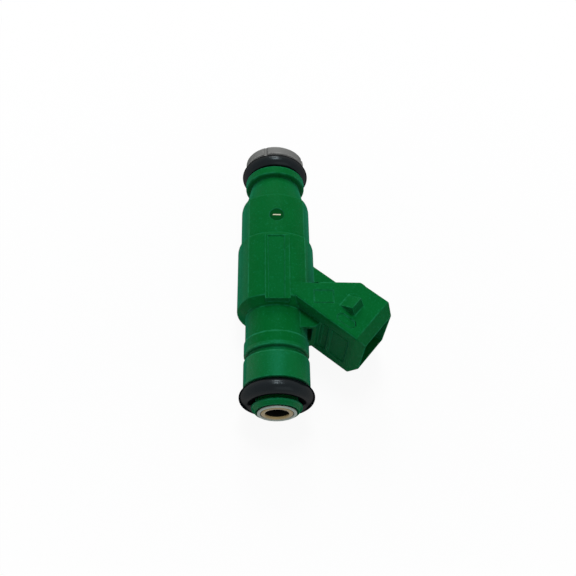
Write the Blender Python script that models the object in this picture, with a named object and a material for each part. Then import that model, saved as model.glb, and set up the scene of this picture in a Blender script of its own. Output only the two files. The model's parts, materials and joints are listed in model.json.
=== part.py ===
"""Top-feed port fuel injector with an overmoulded plastic body, lying on its side.

The pieces are drawn in millimetres in the injector's own frame: the axis is +Y, from the fuel
inlet to the nozzle, with y = 0 at the inlet's end face, and the plug socket leans out to +X.
One empty then scales, tips and lowers them, so that the body and the lower latch lug rest on z = 0.
"""
import math

import bmesh
import bpy
from mathutils import Euler, Matrix, Vector

MM = 0.001
FIT = 0.3               # gap between pieces that touch in the real object
RING_FIT = 0.2          # gap round the soft seal rings
CUT_PAST = 1.0          # how far a cutting shape reaches past the solid it cuts
STEPS = 48              # facets round the outer turned pieces
INNER_STEPS = 28        # facets round the pieces inside

# Inlet end of the body
LIP_RADIUS = 3.76
LIP_THICKNESS = 0.45
COLLAR_START = 0.3
COLLAR_EDGE_RADIUS = 4.25
COLLAR_RADIUS = 4.9
COLLAR_SLOPE = 0.8
COLLAR_LAND = 0.4
GROOVE_FLOOR_RADIUS = 4.1
GROOVE_WIDTH = 3.48
BARREL_RADIUS = 6.5
BARREL_LENGTH = 5.74
BARREL_CHAMFER = 0.4
CLIP_GROOVE_RADIUS = 5.6
CLIP_GROOVE_WIDTH = 0.84
FLANGE_RADIUS = 6.45
FLANGE_LENGTH = 3.04
FLANGE_CHAMFER = 0.2
THROAT_RADIUS = 6.2
THROAT_LENGTH = 5.6

# Main body, upper section, cone and nozzle flange
BODY_RADIUS = 7.95
BODY_LENGTH = 16.5
SHOULDER_LENGTH = 1.4
SHOULDER_STEP = 0.5
REAR_SHOULDER_LENGTH = 0.8
RIDGE_X = 5.75
RIDGE_RISE = 0.5
UPPER_RADIUS = 7.3
UPPER_LENGTH = 10.3
CONE_START_RADIUS = 6.7
CONE_END_RADIUS = 5.25
CONE_LENGTH = 6.0
NOZZLE_FLANGE_RADIUS = 6.5
NOZZLE_FLANGE_LENGTH = 2.1
NOZZLE_GROOVE_WIDTH = 3.4
CAP_LENGTH = 2.3
CAP_RADIUS = 6.5
CAP_NOTCH = 0.45
CAP_NOTCH_COUNT = 4
CAP_NOTCH_TURN = math.radians(111.0)
CAP_EDGE = 0.3
TIP_STANDOUT = 0.1
LABEL_HALF_WIDTH = 2.5
LABEL_RISE = 0.05
LABEL_MARGIN = 0.45
LABEL_ROOT = 0.8        # how far the pad reaches into the body
PANEL_HALF_WIDTH = 1.65
PANEL_SHIFT = -0.2
PANEL_INSET = 0.4
PANEL_DEPTH = 0.2
MARK_RADIUS = 1.52
MARK_DEPTH = 0.25
MARK_PLACE = 4.6        # from the start of the upper section

# Seal rings
RING_OUTER_RADIUS = 7.29

# Plug socket: s runs out along its axis, n across it towards the nozzle, z up
SOCKET_LEAN = math.radians(39.5)
SOCKET_Y = 31.37        # where the socket's axis meets the injector's
SOCKET_HALF_WIDTH = 5.48
SOCKET_HALF_HEIGHT = 7.51
SOCKET_SHOULDER_S = 23.6
SOCKET_MOUTH_S = 25.45
MOUTH_HALF_WIDTH = 4.4
MOUTH_HALF_HEIGHT = 5.15
MOUTH_RIM = 0.35
CAVITY_DEPTH = 11.4
SOCKET_EDGE = 0.5
NECK_BACK_DROP = 0.86   # from the cavity's inner corner to the edges of the neck's back
NECK_ROOT_X = 1.0
WEB_HALF_HEIGHT = 2.0
WEB_ROOT_S = 3.5
WEB_TIP = 0.8           # how far the web runs out past the neck's back
WEB_STAGGER = 0.2       # keeps the web's root off the plane of the back's root
BACK_TIP = 1.0
WEB_INSET = 0.06        # keeps the web's side off the plane of the socket's side
NECK_BACK_SLOPE = math.radians(28.0)
LUG_REAR_S = 16.8
LUG_CREST_S = 19.5
LUG_FRONT_S = 20.4
LUG_HALF_WIDTH = 1.5
LUG_HEIGHT = 1.9
LUG_ROOT = 0.5          # how far the lug reaches into the socket
GUSSET_FRONT_Y = 16.4
GUSSET_HALF_HEIGHT = 4.3
GUSSET_INNER_X = 3.9
GUSSET_OUTER_X = 7.9
GUSSET_SIDE_N = -6.2
POCKET_WALL = 0.9
POCKET_DEPTH = 2.2
POCKET_FLOOR_Z = -1.6
GUSSET_EDGE = 1.2
GUSSET_ROOT_STEP = 2.0
GUSSET_TIP_STEP = 1.5
GUSSET_TUCK = 1.0       # how far the gusset reaches into the socket
TOP_RECESS_X = (7.1, 10.9)
TOP_RECESS_Y = (20.1, 22.9)
TOP_RECESS_DEPTH = 0.15
TOP_OVAL_S = 19.8
TOP_OVAL_N = -3.4
TOP_OVAL_HALF_LENGTH = 2.0
TOP_OVAL_RADIUS = 0.85
SIDE_RIB_S = 17.9
SIDE_RIB_WIDTH = 0.8
SIDE_PANEL_DEPTH = 0.15
SIDE_PANEL_START_S = 16.2
SIDE_PANEL_END_S = 22.2
SIDE_PANEL_HALF_HEIGHT = 4.6

# Terminals
BLADE_HALF_PITCH = 2.5
BLADE_THICKNESS = 0.8
BLADE_HALF_WIDTH = 1.4
BLADE_TIP_S = 19.0
BLADE_TIP_HALF_WIDTH = 0.8
BLADE_TIP_LENGTH = 0.9
TAIL_HALF_WIDTH = 0.5
TAIL_BEND_S = 12.6
BLADE_SHOULDER = 0.4    # over this length the blade narrows to its tail
TAIL_ELBOW_X = 7.3
TAIL_INSET = 1.4        # from the magnet cup back to the tail's link
PIN_X = 4.6

# Steel parts of the fuel path
TUBE_RADIUS = 3.3
TUBE_BORE = 2.9
TUBE_LENGTH = 12.4
CORE_BORE = 1.7
CORE_LENGTH = 17.5
NEEDLE_LIFT = 0.08
ARMATURE_RADIUS = 3.2
ARMATURE_LENGTH = 7.6
SPRING_SEAT_DEPTH = 1.9
ARMATURE_BORE = 1.0
NEEDLE_SOCKET_DEPTH = 3.5
NEEDLE_RADIUS = 1.6
NEEDLE_BORE = 1.0
CROSS_HOLE_RADIUS = 0.4
BALL_RADIUS = 1.75
SLEEVE_RADIUS = 3.9
SLEEVE_BORE = 3.5
SLEEVE_SEAT_RADIUS = 4.1
TIP_HOLE_RADIUS = 2.4
TIP_LIP = 0.25
TIP_CHAMFER = 0.2
BREAK_RING_LENGTH = 4.5
BREAK_RING_OVERLAP = 2.5
SEAT_HOLE_RADIUS = 0.6
SEAT_BODY_LENGTH = 5.7
SEAT_HOLE_LENGTH = 0.1
ORIFICE_PLATE_THICKNESS = 0.3
ORIFICE_HOLE_RADIUS = 0.25
ORIFICE_CIRCLE = 0.55
ORIFICE_COUNT = 4
GUIDE_PLACE = 12.0      # from the start of the valve sleeve
GUIDE_LENGTH = 1.5
GUIDE_HOLE_RADIUS = 0.45
GUIDE_HOLE_COUNT = 6

# Adjusting sleeve and return spring
ADJUSTER_RADIUS = 1.4
ADJUSTER_BORE = 0.9
ADJUSTER_LENGTH = 7.6
ADJUSTER_DEPTH = 0.6
ADJUSTER_SLIT = 0.5
SPRING_RADIUS = 1.15
SPRING_WIRE = 0.5
SPRING_TURNS = 10
SPRING_POINTS = 8       # points a turn
SPRING_END_FLAT = 0.6   # turns wound flat at each end
SPRING_END_GAP = 0.45   # rise of an end turn beyond the wire's own thickness

# Coil and magnet circuit
CUP_RADIUS = 6.7
CUP_WALL = 0.5
CUP_FLOOR = 1.2
CUP_INSET = 2.1         # from the start of the main body
WASHER_THICKNESS = 1.2
BOBBIN_BARREL_RADIUS = 4.7
BOBBIN_FLANGE = 0.8
BOBBIN_LENGTH = 9.9
WINDING_INSET = 0.2     # from the bobbin's rim down to the outside of the winding

# Inlet filter
FILTER_RIM_RADIUS = 2.6
FILTER_BORE = 2.3
FILTER_COLLAR_LENGTH = 3.0
FILTER_COLLAR_INSET = 0.1
FILTER_FRAME_LENGTH = 8.0
FILTER_HEAD_LENGTH = 1.0
FILTER_CAGE_RADIUS = 2.1
FILTER_CAGE_BORE = 1.65
FILTER_END_THICKNESS = 0.6
FILTER_RIB_WIDTH = 0.7
FILTER_MESH_THICKNESS = 0.3

CAVITY_FLOOR_S = SOCKET_MOUTH_S - CAVITY_DEPTH
CAVITY_HALF_WIDTH = MOUTH_HALF_WIDTH - MOUTH_RIM
NECK_BACK_Y = (SOCKET_Y - CAVITY_FLOOR_S * math.sin(SOCKET_LEAN)
               + CAVITY_HALF_WIDTH * math.cos(SOCKET_LEAN) - NECK_BACK_DROP)
SOCKET_AXIS = Vector((math.cos(SOCKET_LEAN), -math.sin(SOCKET_LEAN), 0))
SOCKET_ACROSS = Vector((math.sin(SOCKET_LEAN), math.cos(SOCKET_LEAN), 0))
ALONG_SOCKET = 0.6      # an edge whose direction has this share of the socket's axis runs along it

# Stations along the axis that follow from the sizes above
COLLAR_Y = COLLAR_START + COLLAR_SLOPE
GROOVE_Y = COLLAR_Y + COLLAR_LAND
BARREL_Y = GROOVE_Y + GROOVE_WIDTH
CLIP_Y = BARREL_Y + BARREL_LENGTH
FLANGE_Y = CLIP_Y + CLIP_GROOVE_WIDTH
THROAT_Y = FLANGE_Y + FLANGE_LENGTH
BODY_Y = THROAT_Y + THROAT_LENGTH
UPPER_Y = BODY_Y + BODY_LENGTH
CONE_Y = UPPER_Y + UPPER_LENGTH
NOZZLE_FLANGE_Y = CONE_Y + CONE_LENGTH
NOZZLE_GROOVE_Y = NOZZLE_FLANGE_Y + NOZZLE_FLANGE_LENGTH
CAP_Y = NOZZLE_GROOVE_Y + NOZZLE_GROOVE_WIDTH
TIP_Y = CAP_Y + CAP_LENGTH + TIP_STANDOUT
CORE_Y = TUBE_LENGTH + FIT
CORE_END_Y = CORE_Y + CORE_LENGTH
ARMATURE_Y = CORE_END_Y + FIT + NEEDLE_LIFT
ARMATURE_END_Y = ARMATURE_Y + ARMATURE_LENGTH
NEEDLE_Y = ARMATURE_END_Y - NEEDLE_SOCKET_DEPTH + FIT
BREAK_RING_Y = CORE_END_Y - BREAK_RING_OVERLAP
SLEEVE_Y = BREAK_RING_Y + BREAK_RING_LENGTH + FIT
CUP_Y = BODY_Y + CUP_INSET
WASHER_Y = CUP_Y + FIT
BOBBIN_Y = WASHER_Y + WASHER_THICKNESS + FIT
CUP_END_Y = BOBBIN_Y + BOBBIN_LENGTH + FIT + CUP_FLOOR
ADJUSTER_Y = CORE_Y + ADJUSTER_DEPTH
ORIFICE_PLATE_Y = TIP_Y - TIP_LIP - FIT - ORIFICE_PLATE_THICKNESS
SEAT_BODY_END_Y = ORIFICE_PLATE_Y - FIT
SEAT_APEX_Y = SEAT_BODY_END_Y - SEAT_HOLE_LENGTH + SEAT_HOLE_RADIUS
BALL_Y = SEAT_APEX_Y - (BALL_RADIUS + FIT) * math.sqrt(2)
NEEDLE_END_Y = BALL_Y - math.sqrt((BALL_RADIUS + FIT) ** 2 - NEEDLE_BORE ** 2)

# Radii that follow
HOUSING_BORE = TUBE_RADIUS + FIT
SLEEVE_HOLE = SLEEVE_RADIUS + FIT
CUP_CAVITY = CUP_RADIUS + FIT
CUP_BORE = CUP_RADIUS - CUP_WALL
BREAK_RING_BORE = TUBE_RADIUS + FIT
BOBBIN_BORE = SLEEVE_RADIUS + FIT
BOBBIN_RADIUS = CUP_BORE - FIT
RING_INNER_RADIUS = GROOVE_FLOOR_RADIUS + RING_FIT
SLEEVE_FILL_RADIUS = SLEEVE_BORE - FIT

MATERIALS = {
    "green_plastic": ((0.005, 0.110, 0.030), 0.0, 0.50),
    "grey_plastic": ((0.290, 0.290, 0.280), 0.0, 0.65),
    "black_rubber": ((0.012, 0.012, 0.012), 0.0, 0.40),
    "steel": ((0.560, 0.570, 0.580), 1.0, 0.30),
    "magnet_steel": ((0.360, 0.370, 0.380), 1.0, 0.40),
    "brass": ((0.680, 0.460, 0.180), 1.0, 0.30),
    "copper": ((0.700, 0.300, 0.160), 1.0, 0.35),
    "tinned_brass": ((0.620, 0.600, 0.540), 1.0, 0.30),
    "natural_plastic": ((0.560, 0.500, 0.380), 0.0, 0.55),
    "filter_gauze": ((0.420, 0.400, 0.340), 0.0, 0.70),
}


# ---------------------------------------------------------------- scene and material helpers

def clear_scene():
    for item in list(bpy.data.objects):
        bpy.data.objects.remove(item, do_unlink=True)


def make_collection(name):
    group = bpy.data.collections.new(name)
    bpy.context.scene.collection.children.link(group)
    return group


def make_material(name):
    colour, metallic, roughness = MATERIALS[name]
    material = bpy.data.materials.new(name)
    material.use_nodes = True
    shader = material.node_tree.nodes["Principled BSDF"]
    shader.inputs["Base Color"].default_value = (*colour, 1.0)
    shader.inputs["Metallic"].default_value = metallic
    shader.inputs["Roughness"].default_value = roughness
    material.diffuse_color = (*colour, 1.0)
    return material


def mesh_object(name, bm, group):
    bmesh.ops.remove_doubles(bm, verts=bm.verts, dist=1e-5)
    bmesh.ops.recalc_face_normals(bm, faces=bm.faces)
    bmesh.ops.scale(bm, vec=(MM, MM, MM), verts=bm.verts)
    mesh = bpy.data.meshes.new(name)
    bm.to_mesh(mesh)
    bm.free()
    item = bpy.data.objects.new(name, mesh)
    group.objects.link(item)
    return item


def part(name, bm, material):
    item = mesh_object(name, bm, PARTS)
    item.data.materials.append(make_material(material))
    return item


def cutter(name, bm):
    item = mesh_object(name, bm, CUTTERS)
    item.hide_render = True
    item.display_type = "WIRE"
    return item


def combine(item, other, operation):
    modifier = item.modifiers.new(operation.lower(), "BOOLEAN")
    modifier.operation = operation
    modifier.solver = "EXACT"
    modifier.object = other


# ---------------------------------------------------------------- shapes

def round_section(radius, steps=STEPS):
    """Points of a circle, starting at 45 degrees, where a ridged section has its first ridge."""
    angles = [math.pi / 4 + math.tau * i / steps for i in range(steps)]
    return [(radius * math.cos(a), radius * math.sin(a)) for a in angles]


def shallow_arc(start, crown, count):
    """Points of the arc from start to its mirror image, through the crown half-way."""
    half_chord = start[1]
    rise = crown - start[0]
    radius = (half_chord ** 2 + rise ** 2) / (2 * rise)
    half_angle = math.asin(half_chord / radius)
    centre = crown - radius
    angles = [half_angle - 2 * half_angle * i / count for i in range(count)]
    return [(centre + radius * math.cos(a), radius * math.sin(a)) for a in angles]


def ridged_section(radius):
    """Four shallow arcs that meet in ridges at x = RIDGE_X, above and below."""
    ridge_z = math.sqrt((radius + RIDGE_RISE) ** 2 - RIDGE_X ** 2)
    quarter = STEPS // 4
    top = [(across, up) for up, across in shallow_arc((ridge_z, RIDGE_X), radius, quarter)]
    left = [(-out, along) for out, along in shallow_arc((RIDGE_X, ridge_z), radius, quarter)]
    return top + left + [(-x, -z) for x, z in top] + [(-x, -z) for x, z in left]


def loft(sections, closed):
    """A skin over rings of points, given as (y, [(x, z), ...]); one point stands for a pole."""
    bm = bmesh.new()
    rings = [[bm.verts.new((x, y, z)) for x, z in points] for y, points in sections]
    pairs = list(zip(rings, rings[1:]))
    if closed:
        pairs.append((rings[-1], rings[0]))
    else:
        for end in (rings[0], rings[-1]):
            if len(end) > 1:
                bm.faces.new(end)
    for one, two in pairs:
        count = max(len(one), len(two))
        for i in range(count):
            j = (i + 1) % count
            if len(one) == 1:
                bm.faces.new((one[0], two[j], two[i]))
            elif len(two) == 1:
                bm.faces.new((one[i], one[j], two[0]))
            else:
                bm.faces.new((one[i], one[j], two[j], two[i]))
    return bm


def turned(profile, steps=INNER_STEPS):
    """A tube or ring turned about the axis from a closed profile of (y, radius)."""
    return loft([(y, round_section(radius, steps)) for y, radius in profile], True)


def turned_solid(profile, steps=INNER_STEPS):
    """A solid turned about the axis from a profile of (y, radius), with flat ends."""
    return loft([(y, round_section(radius, steps)) for y, radius in profile], False)


def tube(start, end, outer, inner, steps=INNER_STEPS):
    return turned([(start, outer), (end, outer), (end, inner), (start, inner)], steps)


def ball(centre, radius, rows=8):
    angles = [math.pi * i / rows for i in range(1, rows)]
    middle = [(centre - radius * math.cos(a), round_section(radius * math.sin(a), 3 * rows))
              for a in angles]
    return loft([(centre - radius, [(0, 0)])] + middle + [(centre + radius, [(0, 0)])], False)


def rod(start, end, radius, count, x=0.0, z=0.0):
    """A round bar along Y."""
    bm = bmesh.new()
    place = Matrix.Translation((x, (start + end) / 2, z)) @ Matrix.Rotation(math.pi / 2, 4, "X")
    bmesh.ops.create_cone(bm, cap_ends=True, segments=count, radius1=radius, radius2=radius,
                          depth=end - start, matrix=place)
    return bm


def upright_rod(x, y, low, high, radius, count):
    bm = bmesh.new()
    place = Matrix.Translation((x, y, (low + high) / 2))
    bmesh.ops.create_cone(bm, cap_ends=True, segments=count, radius1=radius, radius2=radius,
                          depth=high - low, matrix=place)
    return bm


def plate(outline, low, high):
    """An outline of (x, y) points, extruded from one height to another."""
    bm = bmesh.new()
    face = bm.faces.new([bm.verts.new((x, y, low)) for x, y in outline])
    lifted = bmesh.ops.extrude_face_region(bm, geom=[face])
    top = [v for v in lifted["geom"] if isinstance(v, bmesh.types.BMVert)]
    bmesh.ops.translate(bm, vec=(0, 0, high - low), verts=top)
    return bm


def block(x_range, y_range, z_range):
    outline = [(x_range[0], y_range[0]), (x_range[1], y_range[0]),
               (x_range[1], y_range[1]), (x_range[0], y_range[1])]
    return plate(outline, *z_range)


def socket_point(s, n):
    """Plan position of a point s out along the socket's axis and n across it."""
    x = s * math.cos(SOCKET_LEAN) + n * math.sin(SOCKET_LEAN)
    y = SOCKET_Y - s * math.sin(SOCKET_LEAN) + n * math.cos(SOCKET_LEAN)
    return x, y


def socket_s(y, n):
    """How far out the socket line at n crosses the station y."""
    return (SOCKET_Y + n * math.cos(SOCKET_LEAN) - y) / math.sin(SOCKET_LEAN)


def socket_frustum(sections):
    """A skin over rectangles across the socket's axis, given as (s, half width, half height)."""
    bm = bmesh.new()
    rings = []
    for s, half_width, half_height in sections:
        corners = [(-half_width, -half_height), (half_width, -half_height),
                   (half_width, half_height), (-half_width, half_height)]
        rings.append([bm.verts.new((*socket_point(s, n), z)) for n, z in corners])
    for one, two in zip(rings, rings[1:]):
        for i in range(4):
            j = (i + 1) % 4
            bm.faces.new((one[i], one[j], two[j], two[i]))
    bm.faces.new(rings[0])
    bm.faces.new(reversed(rings[-1]))
    return bm


def bevel_long_edges(bm, width, segments):
    """Rounds the edges of a socket frustum that run along the socket's axis."""
    bmesh.ops.recalc_face_normals(bm, faces=bm.faces)
    edges = [e for e in bm.edges
             if abs((e.verts[1].co - e.verts[0].co).normalized().dot(SOCKET_AXIS)) > ALONG_SOCKET]
    bmesh.ops.bevel(bm, geom=edges, offset=width, segments=segments, profile=0.5,
                    affect="EDGES", clamp_overlap=True)
    return bm


# ---------------------------------------------------------------- the overmoulded housing

def shoulder(start_y, start_radius, end_y, end_radius, steps=5):
    """Stations of a quarter-ellipse shoulder, steep where it leaves the smaller radius."""
    low_first = end_radius > start_radius
    stations = []
    for i in range(steps + 1):
        angle = math.pi / 2 * i / steps
        if low_first:
            along, out = 1 - math.cos(angle), math.sin(angle)
        else:
            along, out = math.sin(angle), 1 - math.cos(angle)
        stations.append((start_y + (end_y - start_y) * along,
                         start_radius + (end_radius - start_radius) * out))
    return stations


def housing_outside():
    """The body as a solid, from the inlet collar to the nozzle flange, without its bore."""
    chamfer = BARREL_CHAMFER
    edge = FLANGE_CHAMFER
    inlet = [(COLLAR_START, COLLAR_EDGE_RADIUS), (COLLAR_Y, COLLAR_RADIUS),
             (GROOVE_Y, COLLAR_RADIUS), (GROOVE_Y, GROOVE_FLOOR_RADIUS),
             (BARREL_Y, GROOVE_FLOOR_RADIUS), (BARREL_Y, BARREL_RADIUS - edge),
             (BARREL_Y + edge, BARREL_RADIUS), (CLIP_Y - chamfer, BARREL_RADIUS),
             (CLIP_Y, BARREL_RADIUS - chamfer), (CLIP_Y, CLIP_GROOVE_RADIUS),
             (FLANGE_Y, CLIP_GROOVE_RADIUS), (FLANGE_Y, FLANGE_RADIUS - edge),
             (FLANGE_Y + edge, FLANGE_RADIUS), (THROAT_Y - edge, FLANGE_RADIUS),
             (THROAT_Y, THROAT_RADIUS), (BODY_Y, THROAT_RADIUS)]
    front = shoulder(BODY_Y, THROAT_RADIUS + SHOULDER_STEP, BODY_Y + SHOULDER_LENGTH, BODY_RADIUS)
    back = shoulder(UPPER_Y - REAR_SHOULDER_LENGTH, BODY_RADIUS, UPPER_Y, UPPER_RADIUS, 3)
    top = shoulder(CONE_Y - REAR_SHOULDER_LENGTH, UPPER_RADIUS, CONE_Y, CONE_START_RADIUS, 3)
    nozzle = [(NOZZLE_FLANGE_Y, CONE_END_RADIUS), (NOZZLE_FLANGE_Y, NOZZLE_FLANGE_RADIUS - edge),
              (NOZZLE_FLANGE_Y + edge, NOZZLE_FLANGE_RADIUS),
              (NOZZLE_GROOVE_Y - edge, NOZZLE_FLANGE_RADIUS),
              (NOZZLE_GROOVE_Y, NOZZLE_FLANGE_RADIUS - edge)]
    ridged = [(y, ridged_section(radius)) for y, radius in front[1:] + back + top[:-1]]
    rounded_start = [(y, round_section(radius)) for y, radius in inlet + front[:1]]
    rounded_end = [(y, round_section(radius)) for y, radius in top[-1:] + nozzle]
    return loft(rounded_start + ridged + rounded_end, False)


def housing_bore():
    """The stepped hole right through: lip seat, tube bore, magnet cup, valve sleeve."""
    counterbore = LIP_RADIUS + FIT
    lip_floor = LIP_THICKNESS + FIT
    cavity = (CUP_Y - FIT, CUP_END_Y + FIT)
    return turned_solid([(COLLAR_START - CUT_PAST, counterbore), (lip_floor, counterbore),
                         (lip_floor, HOUSING_BORE), (cavity[0], HOUSING_BORE),
                         (cavity[0], CUP_CAVITY), (cavity[1], CUP_CAVITY),
                         (cavity[1], SLEEVE_HOLE), (NOZZLE_GROOVE_Y + CUT_PAST, SLEEVE_HOLE)], STEPS)


def socket_block():
    """Neck and socket in one: square to the injector's axis behind, tapered to the mouth in front."""
    near, far = -SOCKET_HALF_WIDTH, SOCKET_HALF_WIDTH
    near_root_s = (NECK_ROOT_X - near * math.sin(SOCKET_LEAN)) / math.cos(SOCKET_LEAN)
    outline = [socket_point(near_root_s, near), socket_point(SOCKET_SHOULDER_S, near),
               socket_point(SOCKET_SHOULDER_S, far),
               socket_point(socket_s(NECK_BACK_Y, far), far), (NECK_ROOT_X, NECK_BACK_Y)]
    bm = plate(outline, -SOCKET_HALF_HEIGHT, SOCKET_HALF_HEIGHT)
    bmesh.ops.recalc_face_normals(bm, faces=bm.faces)
    front = max(bm.faces, key=lambda face: face.normal.dot(SOCKET_AXIS))
    middle = front.calc_center_median()
    taper = bmesh.ops.extrude_face_region(bm, geom=[front])["geom"]
    bm.faces.remove(front)
    for corner in (v for v in taper if isinstance(v, bmesh.types.BMVert)):
        across = math.copysign(MOUTH_HALF_WIDTH, (corner.co - middle).dot(SOCKET_ACROSS))
        up = math.copysign(MOUTH_HALF_HEIGHT, corner.co.z)
        corner.co = (*socket_point(SOCKET_MOUTH_S, across), up)
    return bevel_long_edges(bm, SOCKET_EDGE, 2)


def socket_back():
    """The neck's nozzle side, which slopes out from its upper and lower edges to the web."""
    far = SOCKET_HALF_WIDTH - WEB_INSET
    edge_s = socket_s(NECK_BACK_Y, far)
    tip_s = edge_s + BACK_TIP
    outline = [socket_point(WEB_ROOT_S, 0), socket_point(tip_s, 0), socket_point(tip_s, far),
               socket_point(WEB_ROOT_S, far)]
    bm = plate(outline, -SOCKET_HALF_HEIGHT + WEB_INSET, SOCKET_HALF_HEIGHT - WEB_INSET)
    for side in (1, -1):
        everything = list(bm.verts) + list(bm.edges) + list(bm.faces)
        slope = Vector((0, math.cos(NECK_BACK_SLOPE), side * math.sin(NECK_BACK_SLOPE)))
        cut = bmesh.ops.bisect_plane(bm, geom=everything, plane_no=slope, clear_outer=True,
                                     plane_co=(0, NECK_BACK_Y, side * SOCKET_HALF_HEIGHT))
        rim = [e for e in cut["geom_cut"] if isinstance(e, bmesh.types.BMEdge)]
        bmesh.ops.edgeloop_fill(bm, edges=rim)
    return bm


def socket_web():
    """The low web that stiffens the neck on its nozzle side."""
    out = socket_s(NECK_BACK_Y, SOCKET_HALF_WIDTH) + WEB_TIP
    far = SOCKET_HALF_WIDTH - 2 * WEB_INSET
    root = WEB_ROOT_S - WEB_STAGGER
    outline = [socket_point(root, 0), socket_point(out, 0), socket_point(out, far),
               socket_point(root, far)]
    return plate(outline, -WEB_HALF_HEIGHT, WEB_HALF_HEIGHT)


def side_line_point(x, n):
    """Where the socket line at n reaches x."""
    s = (x - n * math.sin(SOCKET_LEAN)) / math.cos(SOCKET_LEAN)
    return socket_point(s, n)


def gusset():
    """The low block that ties the throat to the socket's inlet side, rounded along its outer edges."""
    inside_n = GUSSET_TUCK - SOCKET_HALF_WIDTH
    inner = side_line_point(GUSSET_INNER_X + GUSSET_ROOT_STEP, inside_n)
    outline = [(GUSSET_INNER_X, GUSSET_FRONT_Y), (GUSSET_OUTER_X, GUSSET_FRONT_Y),
               side_line_point(GUSSET_OUTER_X, GUSSET_SIDE_N),
               side_line_point(GUSSET_OUTER_X + GUSSET_TIP_STEP, inside_n), inner, (GUSSET_INNER_X, inner[1])]
    bm = plate(outline, -GUSSET_HALF_HEIGHT, GUSSET_HALF_HEIGHT)
    outer = [e for e in bm.edges if all(abs(v.co.x - GUSSET_OUTER_X) < 1e-4 for v in e.verts)
             and abs(e.verts[0].co.z - e.verts[1].co.z) < 1e-4]
    bmesh.ops.bevel(bm, geom=outer, offset=GUSSET_EDGE, segments=4, profile=0.5, affect="EDGES")
    return bm


def gusset_pocket():
    low = POCKET_FLOOR_Z
    return block((GUSSET_INNER_X - CUT_PAST, GUSSET_OUTER_X - POCKET_WALL),
                 (GUSSET_FRONT_Y - CUT_PAST, GUSSET_FRONT_Y + POCKET_DEPTH),
                 (low, GUSSET_HALF_HEIGHT - POCKET_WALL))


def latch_lug(side):
    """A ramp with a steep front that a plug's wire clip snaps over."""
    base = SOCKET_HALF_HEIGHT - LUG_ROOT
    crest = SOCKET_HALF_HEIGHT + LUG_HEIGHT
    rows = [(LUG_REAR_S, SOCKET_HALF_HEIGHT), (LUG_CREST_S, crest), (LUG_FRONT_S, SOCKET_HALF_HEIGHT),
            (LUG_FRONT_S, base), (LUG_REAR_S, base)]
    bm = bmesh.new()
    ends = []
    for n in (-LUG_HALF_WIDTH, LUG_HALF_WIDTH):
        ends.append([bm.verts.new((*socket_point(s, n), side * z)) for s, z in rows])
    for i in range(len(rows)):
        j = (i + 1) % len(rows)
        bm.faces.new((ends[0][i], ends[0][j], ends[1][j], ends[1][i]))
    bm.faces.new(ends[0])
    bm.faces.new(reversed(ends[1]))
    return bm


def socket_cavity():
    half_width = CAVITY_HALF_WIDTH
    half_height = MOUTH_HALF_HEIGHT - MOUTH_RIM
    bm = socket_frustum([(CAVITY_FLOOR_S, half_width, half_height),
                         (SOCKET_MOUTH_S + CUT_PAST, half_width, half_height)])
    return bevel_long_edges(bm, SOCKET_EDGE, 2)


def side_panels():
    """The shallow panels beside the rib on the socket's inlet side."""
    rib = (SIDE_RIB_S - SIDE_RIB_WIDTH / 2, SIDE_RIB_S + SIDE_RIB_WIDTH / 2)
    for start, end in ((SIDE_PANEL_START_S, rib[0]), (rib[1], SIDE_PANEL_END_S)):
        outside = -SOCKET_HALF_WIDTH - CUT_PAST
        floor = SIDE_PANEL_DEPTH - SOCKET_HALF_WIDTH
        outline = [socket_point(start, outside), socket_point(end, outside),
                   socket_point(end, floor), socket_point(start, floor)]
        yield plate(outline, -SIDE_PANEL_HALF_HEIGHT, SIDE_PANEL_HALF_HEIGHT)


def terminal_route():
    """Plan points of a terminal with its half width at each, from the blade's tip to the pin."""
    link_y = CUP_Y - TAIL_INSET
    return [(*socket_point(BLADE_TIP_S, 0), BLADE_TIP_HALF_WIDTH),
            (*socket_point(BLADE_TIP_S - BLADE_TIP_LENGTH, 0), BLADE_HALF_WIDTH),
            (*socket_point(CAVITY_FLOOR_S + FIT + BLADE_SHOULDER, 0), BLADE_HALF_WIDTH),
            (*socket_point(CAVITY_FLOOR_S + FIT, 0), TAIL_HALF_WIDTH),
            (*socket_point(TAIL_BEND_S, 0), TAIL_HALF_WIDTH),
            (TAIL_ELBOW_X, link_y, TAIL_HALF_WIDTH),
            (PIN_X, link_y, TAIL_HALF_WIDTH),
            (PIN_X, BOBBIN_Y - FIT, TAIL_HALF_WIDTH)]


def ribbon(route, grow=0.0):
    """The outline of a flat strip along a route, mitred at its bends and grown all round."""
    points = [Vector(p[:2]) for p in route]
    steps = [(b - a).normalized() for a, b in zip(points, points[1:])]
    points[0] = points[0] - steps[0] * grow
    points[-1] = points[-1] + steps[-1] * grow
    left, right = [], []
    for i, point in enumerate(points):
        before = steps[max(i - 1, 0)]
        after = steps[min(i, len(steps) - 1)]
        across = (before + after).normalized()
        normal = Vector((-across.y, across.x))
        reach = (route[i][2] + grow) / max(across.dot(before), 0.5)
        left.append(tuple(point + normal * reach))
        right.append(tuple(point - normal * reach))
    return left + right[::-1]


def terminal_z(side, grow=0.0):
    half = BLADE_THICKNESS / 2 + grow
    return side * BLADE_HALF_PITCH - half, side * BLADE_HALF_PITCH + half


def label_pad():
    return block((-LABEL_HALF_WIDTH, LABEL_HALF_WIDTH),
                 (BODY_Y + LABEL_MARGIN, UPPER_Y - 2 * LABEL_MARGIN),
                 (BODY_RADIUS - LABEL_ROOT, BODY_RADIUS + LABEL_RISE))


def label_panel():
    """The bare recess in the label pad."""
    top = BODY_RADIUS + LABEL_RISE
    return block((PANEL_SHIFT - PANEL_HALF_WIDTH, PANEL_SHIFT + PANEL_HALF_WIDTH),
                 (BODY_Y + LABEL_MARGIN + PANEL_INSET, UPPER_Y - 2 * LABEL_MARGIN - PANEL_INSET),
                 (top - PANEL_DEPTH, top + CUT_PAST))


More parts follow.
